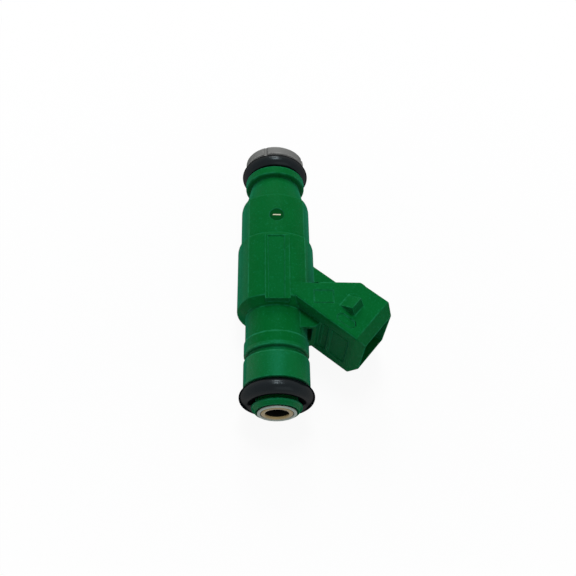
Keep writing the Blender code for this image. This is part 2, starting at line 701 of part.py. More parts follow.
def top_recesses():
    """Two shallow recesses in the socket's upper face: a rectangle, and an oval along the socket."""
    floor = SOCKET_HALF_HEIGHT - TOP_RECESS_DEPTH
    yield block(TOP_RECESS_X, TOP_RECESS_Y, (floor, SOCKET_HALF_HEIGHT + CUT_PAST))
    straight = TOP_OVAL_HALF_LENGTH - TOP_OVAL_RADIUS
    outline = []
    for end in (1, -1):
        for i in range(9):
            angle = -math.pi / 2 + math.pi * i / 8
            out = end * (straight + TOP_OVAL_RADIUS * math.cos(angle))
            outline.append(socket_point(TOP_OVAL_S + out,
                                        TOP_OVAL_N + end * TOP_OVAL_RADIUS * math.sin(angle)))
    yield plate(outline, floor, SOCKET_HALF_HEIGHT + CUT_PAST)


def round_recess():
    return upright_rod(0, UPPER_Y + MARK_PLACE, UPPER_RADIUS - MARK_DEPTH, BODY_RADIUS, MARK_RADIUS, 24)


def build_housing():
    housing = part("housing", housing_outside(), "green_plastic")
    hollow_gusset = cutter("gusset", gusset())
    combine(hollow_gusset, cutter("gusset_pocket", gusset_pocket()), "DIFFERENCE")
    combine(housing, hollow_gusset, "UNION")
    added = [socket_block(), socket_back(), socket_web(), latch_lug(1), latch_lug(-1), label_pad()]
    for i, shape in enumerate(added):
        combine(housing, cutter(f"housing_adds_{i}", shape), "UNION")
    removed = [housing_bore(), socket_cavity(), round_recess(), label_panel(), *top_recesses(),
               *side_panels()]
    route = terminal_route()
    removed += [plate(ribbon(route, FIT), *terminal_z(side, FIT)) for side in (1, -1)]
    for i, shape in enumerate(removed):
        combine(housing, cutter(f"housing_loses_{i}", shape), "DIFFERENCE")


# ---------------------------------------------------------------- pieces in the housing

def build_inlet():
    part("inlet_tube", turned([(0, LIP_RADIUS), (LIP_THICKNESS, LIP_RADIUS),
                               (LIP_THICKNESS, TUBE_RADIUS), (TUBE_LENGTH, TUBE_RADIUS),
                               (TUBE_LENGTH, TUBE_BORE), (0, TUBE_BORE)], STEPS), "steel")


def build_filter():
    collar_end = FILTER_COLLAR_INSET + FILTER_COLLAR_LENGTH
    part("filter_collar", tube(FILTER_COLLAR_INSET, collar_end, FILTER_RIM_RADIUS, FILTER_BORE), "brass")
    head = collar_end + FIT
    cage = head + FILTER_HEAD_LENGTH
    end = head + FILTER_FRAME_LENGTH
    floor = end - FILTER_END_THICKNESS
    frame = part("filter_frame", turned_solid([(end, FILTER_CAGE_RADIUS), (cage, FILTER_CAGE_RADIUS),
                                               (cage, FILTER_RIM_RADIUS), (head, FILTER_RIM_RADIUS),
                                               (head, FILTER_CAGE_BORE), (floor, FILTER_CAGE_BORE)]),
                 "natural_plastic")
    half = FILTER_RIB_WIDTH / 2
    reach = FILTER_CAGE_RADIUS + CUT_PAST
    for i, (sx, sz) in enumerate(((1, 1), (-1, 1), (-1, -1), (1, -1))):
        xs = sorted((sx * half, sx * reach))
        zs = sorted((sz * half, sz * reach))
        window = block(xs, (cage + FIT, floor - FIT), zs)
        combine(frame, cutter(f"cut_filter_window_{i}", window), "DIFFERENCE")
    mesh_radius = FILTER_CAGE_BORE - FIT
    gauze = tube(cage, floor - FIT, mesh_radius, mesh_radius - FILTER_MESH_THICKNESS)
    part("filter_mesh", gauze, "filter_gauze")


def build_fuel_path():
    part("pole_core", tube(CORE_Y, CORE_END_Y, TUBE_RADIUS, CORE_BORE), "magnet_steel")
    part("break_ring", tube(BREAK_RING_Y, BREAK_RING_Y + BREAK_RING_LENGTH, SLEEVE_RADIUS,
                            BREAK_RING_BORE), "steel")
    adjuster_end = ADJUSTER_Y + ADJUSTER_LENGTH
    adjuster = part("adjusting_sleeve", tube(ADJUSTER_Y, adjuster_end, ADJUSTER_RADIUS, ADJUSTER_BORE),
                    "steel")
    slit = block((0, ADJUSTER_RADIUS + CUT_PAST),
                 (ADJUSTER_Y - CUT_PAST, adjuster_end + CUT_PAST),
                 (-ADJUSTER_SLIT / 2, ADJUSTER_SLIT / 2))
    combine(adjuster, cutter("cut_adjuster_slit", slit), "DIFFERENCE")
    groove = NOZZLE_GROOVE_Y + FIT
    part("valve_sleeve", turned([(SLEEVE_Y, SLEEVE_RADIUS), (groove, SLEEVE_RADIUS),
                                 (groove, SLEEVE_SEAT_RADIUS), (TIP_Y - TIP_CHAMFER, SLEEVE_SEAT_RADIUS),
                                 (TIP_Y, SLEEVE_SEAT_RADIUS - TIP_CHAMFER), (TIP_Y, TIP_HOLE_RADIUS),
                                 (TIP_Y - TIP_LIP, TIP_HOLE_RADIUS), (TIP_Y - TIP_LIP, SLEEVE_BORE),
                                 (SLEEVE_Y, SLEEVE_BORE)]), "steel")
    guide_y = SLEEVE_Y + GUIDE_PLACE
    guide = part("needle_guide", tube(guide_y, guide_y + GUIDE_LENGTH, SLEEVE_FILL_RADIUS,
                                      NEEDLE_RADIUS + FIT), "steel")
    circle = (SLEEVE_FILL_RADIUS + NEEDLE_RADIUS + FIT) / 2
    for i in range(GUIDE_HOLE_COUNT):
        angle = math.tau * i / GUIDE_HOLE_COUNT
        hole = rod(guide_y - CUT_PAST, guide_y + GUIDE_LENGTH + CUT_PAST, GUIDE_HOLE_RADIUS, 10,
                   circle * math.cos(angle), circle * math.sin(angle))
        combine(guide, cutter(f"cut_guide_hole_{i}", hole), "DIFFERENCE")


def build_valve():
    seat_start = SEAT_BODY_END_Y - SEAT_BODY_LENGTH
    bore = BALL_RADIUS + FIT
    part("valve_seat", turned([(seat_start, SLEEVE_FILL_RADIUS), (SEAT_BODY_END_Y, SLEEVE_FILL_RADIUS),
                               (SEAT_BODY_END_Y, SEAT_HOLE_RADIUS),
                               (SEAT_APEX_Y - SEAT_HOLE_RADIUS, SEAT_HOLE_RADIUS),
                               (SEAT_APEX_Y - bore, bore), (seat_start, bore)]), "steel")
    start, end = ORIFICE_PLATE_Y, ORIFICE_PLATE_Y + ORIFICE_PLATE_THICKNESS
    orifice = part("orifice_plate", rod(start, end, SLEEVE_FILL_RADIUS, INNER_STEPS), "steel")
    for i in range(ORIFICE_COUNT):
        angle = math.tau * (i + 0.5) / ORIFICE_COUNT
        hole = rod(start - CUT_PAST, end + CUT_PAST, ORIFICE_HOLE_RADIUS, 8,
                   ORIFICE_CIRCLE * math.cos(angle), ORIFICE_CIRCLE * math.sin(angle))
        combine(orifice, cutter(f"cut_orifice_{i}", hole), "DIFFERENCE")


def build_needle():
    seat_radius = CORE_BORE
    seat_floor = ARMATURE_Y + SPRING_SEAT_DEPTH
    socket_floor = ARMATURE_END_Y - NEEDLE_SOCKET_DEPTH
    socket_radius = NEEDLE_RADIUS + FIT
    part("armature", turned([(ARMATURE_Y, ARMATURE_RADIUS), (ARMATURE_END_Y, ARMATURE_RADIUS),
                             (ARMATURE_END_Y, socket_radius), (socket_floor, socket_radius),
                             (socket_floor, ARMATURE_BORE), (seat_floor, ARMATURE_BORE),
                             (seat_floor, seat_radius), (ARMATURE_Y, seat_radius)]), "magnet_steel")
    needle = part("needle_tube", tube(NEEDLE_Y, NEEDLE_END_Y, NEEDLE_RADIUS, NEEDLE_BORE), "steel")
    hole = upright_rod(0, (ARMATURE_END_Y + NEEDLE_END_Y) / 2, -NEEDLE_RADIUS - CUT_PAST,
                       NEEDLE_RADIUS + CUT_PAST,
                       CROSS_HOLE_RADIUS, 12)
    combine(needle, cutter("cut_cross_hole", hole), "DIFFERENCE")
    part("valve_ball", ball(BALL_Y, BALL_RADIUS), "steel")


def spring_points():
    """The coil's centre line: flat end turns, open turns between, as one unbroken helix."""
    half_wire = SPRING_WIRE / 2
    start = ADJUSTER_Y + ADJUSTER_LENGTH + FIT + half_wire
    end = ARMATURE_Y + SPRING_SEAT_DEPTH - FIT - half_wire
    flat_rise = (SPRING_WIRE + SPRING_END_GAP) * SPRING_END_FLAT
    open_turns = SPRING_TURNS - 2 * SPRING_END_FLAT
    open_rise = end - start - 2 * flat_rise
    points = []
    for i in range(SPRING_TURNS * SPRING_POINTS + 1):
        turn = i / SPRING_POINTS
        if turn <= SPRING_END_FLAT:
            rise = flat_rise * turn / SPRING_END_FLAT
        elif turn <= SPRING_TURNS - SPRING_END_FLAT:
            rise = flat_rise + open_rise * (turn - SPRING_END_FLAT) / open_turns
        else:
            rise = end - start - flat_rise * (SPRING_TURNS - turn) / SPRING_END_FLAT
        angle = math.tau * turn
        points.append(Vector((SPRING_RADIUS * math.cos(angle), start + rise,
                              SPRING_RADIUS * math.sin(angle))))
    return points


def print_spring_gap(points):
    """Prints the least gap between the wire's turns, measured on the centre line's points."""
    half_turn = SPRING_POINTS // 2
    least = min((a - b).length for i, a in enumerate(points) for b in points[i + half_turn:])
    print(f"return_spring: least gap between turns {least - SPRING_WIRE:.2f} mm")


def build_spring():
    points = spring_points()
    print_spring_gap(points)
    curve = bpy.data.curves.new("return_spring", "CURVE")
    curve.dimensions = "3D"
    curve.bevel_depth = SPRING_WIRE / 2 * MM
    curve.bevel_resolution = 1
    curve.use_fill_caps = True
    spline = curve.splines.new("POLY")
    spline.points.add(len(points) - 1)
    for target, point in zip(spline.points, points):
        target.co = (*(point * MM), 1.0)
    item = bpy.data.objects.new("return_spring", curve)
    item.data.materials.append(make_material("steel"))
    PARTS.objects.link(item)


def build_magnet():
    inner_floor = CUP_END_Y - CUP_FLOOR
    part("magnet_cup", turned([(CUP_Y, CUP_RADIUS), (CUP_END_Y, CUP_RADIUS), (CUP_END_Y, SLEEVE_HOLE),
                               (inner_floor, SLEEVE_HOLE), (inner_floor, CUP_BORE),
                               (CUP_Y, CUP_BORE)]), "magnet_steel")
    washer_end = WASHER_Y + WASHER_THICKNESS
    washer = part("flux_washer", tube(WASHER_Y, washer_end, BOBBIN_RADIUS, HOUSING_BORE),
                  "magnet_steel")
    for i, side in enumerate((1, -1)):
        slot = block((PIN_X - TAIL_HALF_WIDTH - FIT, CUP_RADIUS),
                     (WASHER_Y - CUT_PAST, washer_end + CUT_PAST), terminal_z(side, FIT))
        combine(washer, cutter(f"cut_washer_slot_{i}", slot), "DIFFERENCE")
    end = BOBBIN_Y + BOBBIN_LENGTH
    inner = (BOBBIN_Y + BOBBIN_FLANGE, end - BOBBIN_FLANGE)
    part("coil_bobbin", turned([(BOBBIN_Y, BOBBIN_RADIUS), (inner[0], BOBBIN_RADIUS),
                                (inner[0], BOBBIN_BARREL_RADIUS), (inner[1], BOBBIN_BARREL_RADIUS),
                                (inner[1], BOBBIN_RADIUS), (end, BOBBIN_RADIUS),
                                (end, BOBBIN_BORE), (BOBBIN_Y, BOBBIN_BORE)]), "natural_plastic")
    part("coil_winding", tube(inner[0] + FIT, inner[1] - FIT, BOBBIN_RADIUS - WINDING_INSET,
                              BOBBIN_BARREL_RADIUS + FIT), "copper")


def build_terminals():
    route = terminal_route()
    for name, side in (("terminal_upper", 1), ("terminal_lower", -1)):
        part(name, plate(ribbon(route), *terminal_z(side)), "tinned_brass")


def build_seal_rings():
    section = (RING_OUTER_RADIUS - RING_INNER_RADIUS) / 2
    middle = RING_INNER_RADIUS + section
    sides = 12
    places = {"inlet_seal_ring": GROOVE_Y + GROOVE_WIDTH / 2,
              "nozzle_seal_ring": NOZZLE_GROOVE_Y + NOZZLE_GROOVE_WIDTH / 2}
    for name, centre in places.items():
        profile = [(centre + section * math.cos(math.tau * i / sides),
                    middle + section * math.sin(math.tau * i / sides)) for i in range(sides)]
        part(name, turned(profile, STEPS), "black_rubber")


def build_cap():
    end = CAP_Y + CAP_LENGTH
    edge = CAP_EDGE
    bore = SLEEVE_SEAT_RADIUS + FIT
    cap = part("nozzle_cap", turned([(CAP_Y, CAP_RADIUS - edge), (CAP_Y + edge, CAP_RADIUS),
                                     (end - edge, CAP_RADIUS), (end, CAP_RADIUS - edge),
                                     (end, bore), (CAP_Y, bore)], STEPS), "grey_plastic")
    for i in range(CAP_NOTCH_COUNT):
        angle = CAP_NOTCH_TURN + math.tau * i / CAP_NOTCH_COUNT
        notch = rod(CAP_Y - CUT_PAST, end + CUT_PAST, CAP_NOTCH, 12,
                    CAP_RADIUS * math.cos(angle), CAP_RADIUS * math.sin(angle))
        combine(cap, cutter(f"cut_cap_notch_{i}", notch), "DIFFERENCE")


# ---------------------------------------------------------------- how it lies

def lying_tilt():
    """The turn about the axis that brings the lower lug down to the level of the body."""
    lug_x = socket_point(LUG_CREST_S, -LUG_HALF_WIDTH)[0]
    lug_low = SOCKET_HALF_HEIGHT + LUG_HEIGHT
    reach = math.hypot(lug_x, lug_low)
    return math.atan2(lug_low, lug_x) - math.asin(BODY_RADIUS / reach)


def lay_down():
    """Hangs every piece on one empty, tips it, and stands its box's bottom centre on the origin."""
    root = bpy.data.objects.new("injector_axis", None)
    PARTS.objects.link(root)
    for item in list(PARTS.objects) + list(CUTTERS.objects):
        if item is not root:
            item.parent = root
    root.rotation_euler = Euler((0, -lying_tilt(), 0))
    bpy.context.view_layer.update()
    depsgraph = bpy.context.evaluated_depsgraph_get()
    corners = []
    for item in PARTS.objects:
        if item is not root:
            solid = item.evaluated_get(depsgraph)
            mesh = solid.to_mesh()
            corners += [solid.matrix_world @ v.co for v in mesh.vertices]
            solid.to_mesh_clear()
    low = [min(c[i] for c in corners) for i in range(3)]
    high = [max(c[i] for c in corners) for i in range(3)]
    root.location = (-(low[0] + high[0]) / 2, -(low[1] + high[1]) / 2, -low[2])
    bpy.context.view_layer.update()
    print("axis at", [round(value, 6) for value in root.location],
          "tilt", round(math.degrees(lying_tilt()), 3))


clear_scene()
PARTS = make_collection("fuel_injector")
CUTTERS = make_collection("cutters")
build_housing()
build_inlet()
build_filter()
build_fuel_path()
build_valve()
build_needle()
build_spring()
build_magnet()
build_terminals()
build_seal_rings()
build_cap()
lay_down()
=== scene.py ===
# %% [markdown]
# # A fuel injector, from its solids to a picture
#
# This lesson dresses a finished mechanical model: a top-feed petrol injector with a green moulded
# body, an angled plug socket, two rubber seal rings and a small electric valve inside. The solids
# already have their true sizes, so every step here is about surface: rounded edges, grain, turning
# marks, wire, gauze and light.
#
# The solids arrive as a fixed frame. Each piece made here sits exactly where its solid is.

# %% Load the solids
import math

import bmesh
import bpy
from mathutils import Matrix, Vector
from mathutils.bvhtree import BVHTree
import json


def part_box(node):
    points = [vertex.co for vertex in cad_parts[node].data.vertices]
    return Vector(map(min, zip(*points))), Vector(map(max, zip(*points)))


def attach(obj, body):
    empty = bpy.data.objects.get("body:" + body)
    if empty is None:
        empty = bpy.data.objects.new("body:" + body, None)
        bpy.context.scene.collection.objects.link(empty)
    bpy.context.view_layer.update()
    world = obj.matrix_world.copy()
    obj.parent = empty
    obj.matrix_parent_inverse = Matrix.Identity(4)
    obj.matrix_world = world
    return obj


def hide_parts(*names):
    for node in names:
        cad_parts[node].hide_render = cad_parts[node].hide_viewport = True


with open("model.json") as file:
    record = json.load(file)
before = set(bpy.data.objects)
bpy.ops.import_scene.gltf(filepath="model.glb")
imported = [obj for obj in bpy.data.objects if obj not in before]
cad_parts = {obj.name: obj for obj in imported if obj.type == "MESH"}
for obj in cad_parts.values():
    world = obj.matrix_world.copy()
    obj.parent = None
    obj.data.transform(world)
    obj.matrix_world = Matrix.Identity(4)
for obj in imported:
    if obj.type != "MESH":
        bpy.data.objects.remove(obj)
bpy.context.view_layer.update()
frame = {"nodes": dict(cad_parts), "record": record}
print("solids:", len(frame["nodes"]))

# %% [markdown]
# The injector's own frame runs along its axis, from the fuel inlet at y = 0 to the nozzle, in
# millimetres. In the world it lies on its body and on the socket's lower lug, so the frame is tipped
# a little and lifted. One matrix does both, and every mesh made below is multiplied by it, which
# leaves the objects themselves unmoved at the origin.

# %% From the injector's frame to the world
MM = 0.001
LYING_TILT = math.radians(-5.753)
AXIS_PLACE = Vector((-0.007441, -0.03045, 0.007962))
TO_WORLD = Matrix.Translation(AXIS_PLACE) @ Matrix.Rotation(LYING_TILT, 4, "Y") @ Matrix.Scale(MM, 4)
TO_INJECTOR = TO_WORLD.inverted()


def body_holding(node):
    """The moving or fixed body that a solid belongs to."""
    bodies = frame["record"]["behaviour"]["bodies"]
    return next(name for name, nodes in bodies.items() if node in nodes)


print("valve ball rides on", body_holding("valve_ball"))

# %% [markdown]
# ## Effects that several finishes share
#
# Plastic, metal and rubber differ in colour, but the things that make them look real repeat: a fine
# moulded grain, turning marks left by a lathe, a little dust and colour drift. Some effects also paint
# light: glints among the specks and highlights along the edges. Each effect becomes a node group with
# named inputs, so that a finish only chooses its strength and scale.

# %% A helper for node groups
def new_group(name, inputs, outputs):
    """A shader node group with named sockets: inputs are (name, kind, default)."""
    group = bpy.data.node_groups.new(name, "ShaderNodeTree")
    for label, kind, default in inputs:
        socket = group.interface.new_socket(label, in_out="INPUT", socket_type=kind)
        socket.default_value = default
    for label, kind in outputs:
        group.interface.new_socket(label, in_out="OUTPUT", socket_type=kind)
    return group, group.nodes.new("NodeGroupInput"), group.nodes.new("NodeGroupOutput")


def add(tree, kind, **values):
    """A node with its properties set."""
    node = tree.nodes.new(kind)
    for key, value in values.items():
        setattr(node, key, value)
    return node


def math_node(tree, operation, first, second):
    """A math node between two sockets or numbers."""
    node = add(tree, "ShaderNodeMath", operation=operation)
    for slot, value in ((0, first), (1, second)):
        if isinstance(value, (int, float)):
            node.inputs[slot].default_value = value
        else:
            tree.links.new(value, node.inputs[slot])
    return node.outputs[0]


# %% [markdown]
# Moulded plastic takes the texture of its steel tool: an even pebble about a fifth of a millimetre
# across, with slow colour drift under it. Two noises at different scales give both. The coordinates
# are in metres, so a scale of 5000 makes cells of a fifth of a millimetre.

# %% Moulded grain
def build_grain_group():
    group, start, end = new_group(
        "Moulded grain",
        [("Grain Scale", "NodeSocketFloat", 5000.0), ("Drift Scale", "NodeSocketFloat", 260.0)],
        [("Height", "NodeSocketFloat"), ("Drift", "NodeSocketFloat")])
    links = group.links
    place = add(group, "ShaderNodeTexCoord")
    grain = add(group, "ShaderNodeTexNoise")
    grain.inputs["Detail"].default_value = 2.0
    grain.inputs["Roughness"].default_value = 0.6
    drift = add(group, "ShaderNodeTexNoise")
    drift.inputs["Detail"].default_value = 4.0
    links.new(place.outputs["Object"], grain.inputs["Vector"])
    links.new(place.outputs["Object"], drift.inputs["Vector"])
    links.new(start.outputs["Grain Scale"], grain.inputs["Scale"])
    links.new(start.outputs["Drift Scale"], drift.inputs["Scale"])
    links.new(grain.outputs["Fac"], end.inputs["Height"])
    links.new(drift.outputs["Fac"], end.inputs["Drift"])
    return group


GRAIN = build_grain_group()
print("group:", GRAIN.name)

# %% [markdown]
# A lathe leaves fine rings round whatever it turns. Seen along the injector they are lines that change
# with y on the outside and with radius on an end face. The group first turns the object coordinates
# back into the injector's own frame, then feeds y plus radius to a noise in one dimension.

# %% Turning marks
def build_turning_group():
    group, start, end = new_group(
        "Turning marks",
        [("Line Scale", "NodeSocketFloat", 9000.0)],
        [("Height", "NodeSocketFloat"), ("Streak", "NodeSocketFloat")])
    links = group.links
    place = add(group, "ShaderNodeTexCoord")
    settle = add(group, "ShaderNodeMapping", vector_type="TEXTURE")
    settle.inputs["Location"].default_value = AXIS_PLACE
    settle.inputs["Rotation"].default_value = (0.0, LYING_TILT, 0.0)
    links.new(place.outputs["Object"], settle.inputs["Vector"])
    split = add(group, "ShaderNodeSeparateXYZ")
    links.new(settle.outputs["Vector"], split.inputs["Vector"])
    across = math_node(group, "MULTIPLY", split.outputs["X"], split.outputs["X"])
    up = math_node(group, "MULTIPLY", split.outputs["Z"], split.outputs["Z"])
    radius = math_node(group, "SQRT", math_node(group, "ADD", across, up), 0.0)
    run = math_node(group, "ADD", radius, split.outputs["Y"])
    lines = add(group, "ShaderNodeTexNoise", noise_dimensions="1D")
    lines.inputs["Detail"].default_value = 3.0
    links.new(run, lines.inputs["W"])
    links.new(start.outputs["Line Scale"], lines.inputs["Scale"])
    broad = add(group, "ShaderNodeTexNoise", noise_dimensions="1D")
    links.new(run, broad.inputs["W"])
    links.new(math_node(group, "MULTIPLY", start.outputs["Line Scale"], 0.12), broad.inputs["Scale"])
    links.new(lines.outputs["Fac"], end.inputs["Height"])
    links.new(broad.outputs["Fac"], end.inputs["Streak"])
    return group


TURNING = build_turning_group()
print("group:", TURNING.name)

# %% [markdown]
# Handled parts pick up fine light specks of dust. On the green plastic the specks are a paler teal
# green instead, which makes them painted glints. A high-contrast noise leaves only its peaks, and its
# mask brings in a paler colour where a speck lies.

# %% Painted glints and dust specks
def build_dust_group():
    group, start, end = new_group(
        "Painted glints and dust specks",
        [("Speck Scale", "NodeSocketFloat", 2200.0), ("Amount", "NodeSocketFloat", 0.3)],
        [("Mask", "NodeSocketFloat")])
    links = group.links
    place = add(group, "ShaderNodeTexCoord")
    specks = add(group, "ShaderNodeTexNoise")
    specks.inputs["Detail"].default_value = 5.0
    specks.inputs["Roughness"].default_value = 0.7
    links.new(place.outputs["Object"], specks.inputs["Vector"])
    links.new(start.outputs["Speck Scale"], specks.inputs["Scale"])
    peaks = add(group, "ShaderNodeMapRange")
    peaks.inputs["From Min"].default_value = 0.55
    peaks.inputs["From Max"].default_value = 0.70
    links.new(specks.outputs["Fac"], peaks.inputs["Value"])
    links.new(math_node(group, "MULTIPLY", peaks.outputs["Result"], start.outputs["Amount"]),
              end.inputs["Mask"])
    return group


DUST_AND_GLINT = build_dust_group()
print("group:", DUST_AND_GLINT.name)

# %% [markdown]
# Edges of a moulding catch more light than its faces, and some are rubbed. The rounded strips made
# further down carry an attribute, rounded_edge, which is 1 on them and 0 elsewhere. On them the
# finishes paint a paler colour: mostly a painted highlight, with some rubbing. A noise breaks the mask
# up, so that it comes and goes along an edge.

# %% Painted edge highlight and rubbing
def build_edge_group():
    group, start, end = new_group(
        "Painted edge highlight and rubbing",
        [("Amount", "NodeSocketFloat", 0.5), ("Patch Scale", "NodeSocketFloat", 900.0)],
        [("Mask", "NodeSocketFloat")])
    links = group.links
    strip = add(group, "ShaderNodeAttribute", attribute_name="rounded_edge")
    place = add(group, "ShaderNodeTexCoord")
    patches = add(group, "ShaderNodeTexNoise")
    patches.inputs["Detail"].default_value = 3.0
    links.new(place.outputs["Object"], patches.inputs["Vector"])
    links.new(start.outputs["Patch Scale"], patches.inputs["Scale"])
    uneven = add(group, "ShaderNodeMapRange")
    uneven.inputs["From Min"].default_value = 0.3
    uneven.inputs["From Max"].default_value = 0.6
    links.new(patches.outputs["Fac"], uneven.inputs["Value"])
    broken = math_node(group, "MULTIPLY", strip.outputs["Fac"], uneven.outputs["Result"])
    links.new(math_node(group, "MULTIPLY", broken, start.outputs["Amount"]), end.inputs["Mask"])
    return group


EDGE = build_edge_group()
print("group:", EDGE.name)

# %% [markdown]
# The barrel that slides into the rail's cup looks smoother in the photograph than the rest of the
# body, and shines more. Only the body's own finish needs this, so it is no group: a function adds
# its nodes to one material. The barrel is what lies in front of the clip groove and beside the socket.

# %% Smooth barrel
BARREL_END_Y = -0.0180
BARREL_SIDE_X = -0.0009


def barrel_mask(tree):
    """1 on the barrel and 0 elsewhere."""
    place = add(tree, "ShaderNodeTexCoord")
    split = add(tree, "ShaderNodeSeparateXYZ")
    tree.links.new(place.outputs["Object"], split.inputs["Vector"])
    ahead = math_node(tree, "LESS_THAN", split.outputs["Y"], BARREL_END_Y)
    beside = math_node(tree, "LESS_THAN", split.outputs["X"], BARREL_SIDE_X)
    return math_node(tree, "MULTIPLY", ahead, beside)


# %% [markdown]
# ## Finishes
#
# Every finish is one Principled shader with its own colour and gloss. A small helper wires the shared
# groups into it: colour runs between a darker and a lighter tone, roughness runs between two values,
# and the height goes through a Bump node. The photograph looks as if it was taken in a darker room than
# its white page suggests, so on plastic and rubber the gloss fades where the surface turns away.

# %% A finish from its numbers
GLOSS_FADE = (0.25, 0.65)   # how far the surface has turned away, from 0 facing to 1 edge-on
SHEEN_COLOUR = (0.16, 1.0, 0.82)


def place_group(tree, group, **values):
    """A shared group placed in a material, with this material's own values."""
    node = add(tree, "ShaderNodeGroup", node_tree=group)
    for label, value in values.items():
        node.inputs[label.replace("_", " ")].default_value = value
    return node


def tone_between(tree, factor, dark, light):
    """A colour that runs from dark to light as the factor goes from 0 to 1."""
    mix = add(tree, "ShaderNodeMix", data_type="RGBA")
    mix.inputs["A"].default_value = (*dark, 1.0)
    mix.inputs["B"].default_value = (*light, 1.0)
    tree.links.new(factor, mix.inputs["Factor"])
    return mix.outputs["Result"]


def range_between(tree, factor, low, high, span=(0.0, 1.0)):
    """A number that runs from low to high as the factor crosses the span."""
    ramp = add(tree, "ShaderNodeMapRange")
    ramp.inputs["From Min"].default_value = span[0]
    ramp.inputs["From Max"].default_value = span[1]
    ramp.inputs["To Min"].default_value = low
    ramp.inputs["To Max"].default_value = high
    tree.links.new(factor, ramp.inputs["Value"])
    return ramp.outputs["Result"]


def finish_from(name, pattern, height, drift, dark, light, rough, bump, metallic=0.0, dust=0.0,
                gloss=0.5, edge=None, tint=(1.0, 1.0, 1.0), barrel_gloss=None, sheen=0.0,
                speck=(0.32, 0.32, 0.31)):
    """A material whose colour, roughness and relief follow one of the shared patterns."""
    material = bpy.data.materials.new(name)
    material.use_nodes = True
    tree = material.node_tree
    shader = tree.nodes["Principled BSDF"]
    shader.inputs["Metallic"].default_value = metallic
    shader.inputs["Specular IOR Level"].default_value = gloss
    shader.inputs["Specular Tint"].default_value = (*tint, 1.0)
    shader.inputs["Sheen Weight"].default_value = sheen
    shader.inputs["Sheen Tint"].default_value = (*SHEEN_COLOUR, 1.0)
    if not metallic:
        facing = add(tree, "ShaderNodeLayerWeight")
        level = range_between(tree, facing.outputs["Facing"], gloss, 0.0, GLOSS_FADE)
        if barrel_gloss:
            raised = range_between(tree, barrel_mask(tree), 1.0, barrel_gloss / gloss)
            level = math_node(tree, "MULTIPLY", level, raised)
        tree.links.new(level, shader.inputs["Specular IOR Level"])
    effect = place_group(tree, pattern)
    colour = tone_between(tree, effect.outputs[drift], dark, light)
    # Painted highlight on the rounded strips, with some rubbing: a paler colour mixed in there.
    if edge:
        edge_highlight_and_rubbing = place_group(tree, EDGE, Amount=edge[1])
        paler = add(tree, "ShaderNodeMix", data_type="RGBA")
        paler.inputs["B"].default_value = (*edge[0], 1.0)
        tree.links.new(edge_highlight_and_rubbing.outputs["Mask"], paler.inputs["Factor"])
        tree.links.new(colour, paler.inputs["A"])
        colour = paler.outputs["Result"]
    # Specks: dust on most finishes, painted glints on the green plastic.
    if dust:
        specks = place_group(tree, DUST_AND_GLINT, Amount=dust)
        layer = add(tree, "ShaderNodeMix", data_type="RGBA")
        layer.inputs["B"].default_value = (*speck, 1.0)
        tree.links.new(specks.outputs["Mask"], layer.inputs["Factor"])
        tree.links.new(colour, layer.inputs["A"])
        colour = layer.outputs["Result"]
    tree.links.new(colour, shader.inputs["Base Color"])
    tree.links.new(range_between(tree, effect.outputs[drift], *rough), shader.inputs["Roughness"])
    relief = add(tree, "ShaderNodeBump")
    relief.inputs["Strength"].default_value = bump[0]
    relief.inputs["Distance"].default_value = bump[1]
    tree.links.new(effect.outputs[height], relief.inputs["Height"])
    tree.links.new(relief.outputs["Normal"], shader.inputs["Normal"])
    return material


def grained(name, **look):
    return finish_from(name, GRAIN, "Height", "Drift", **look)


def turned_metal(name, **look):
    return finish_from(name, TURNING, "Height", "Streak", metallic=1.0, **look)


# %% [markdown]
# The body is a deep green nylon with glass fibre: satin, slightly uneven, and paler where light
# grazes it. The cap is a matt grey nylon and the rings are black nitrile rubber. Metals are told
# apart by colour: bright steel, darker magnet steel, brass, tinned brass and enamelled copper.

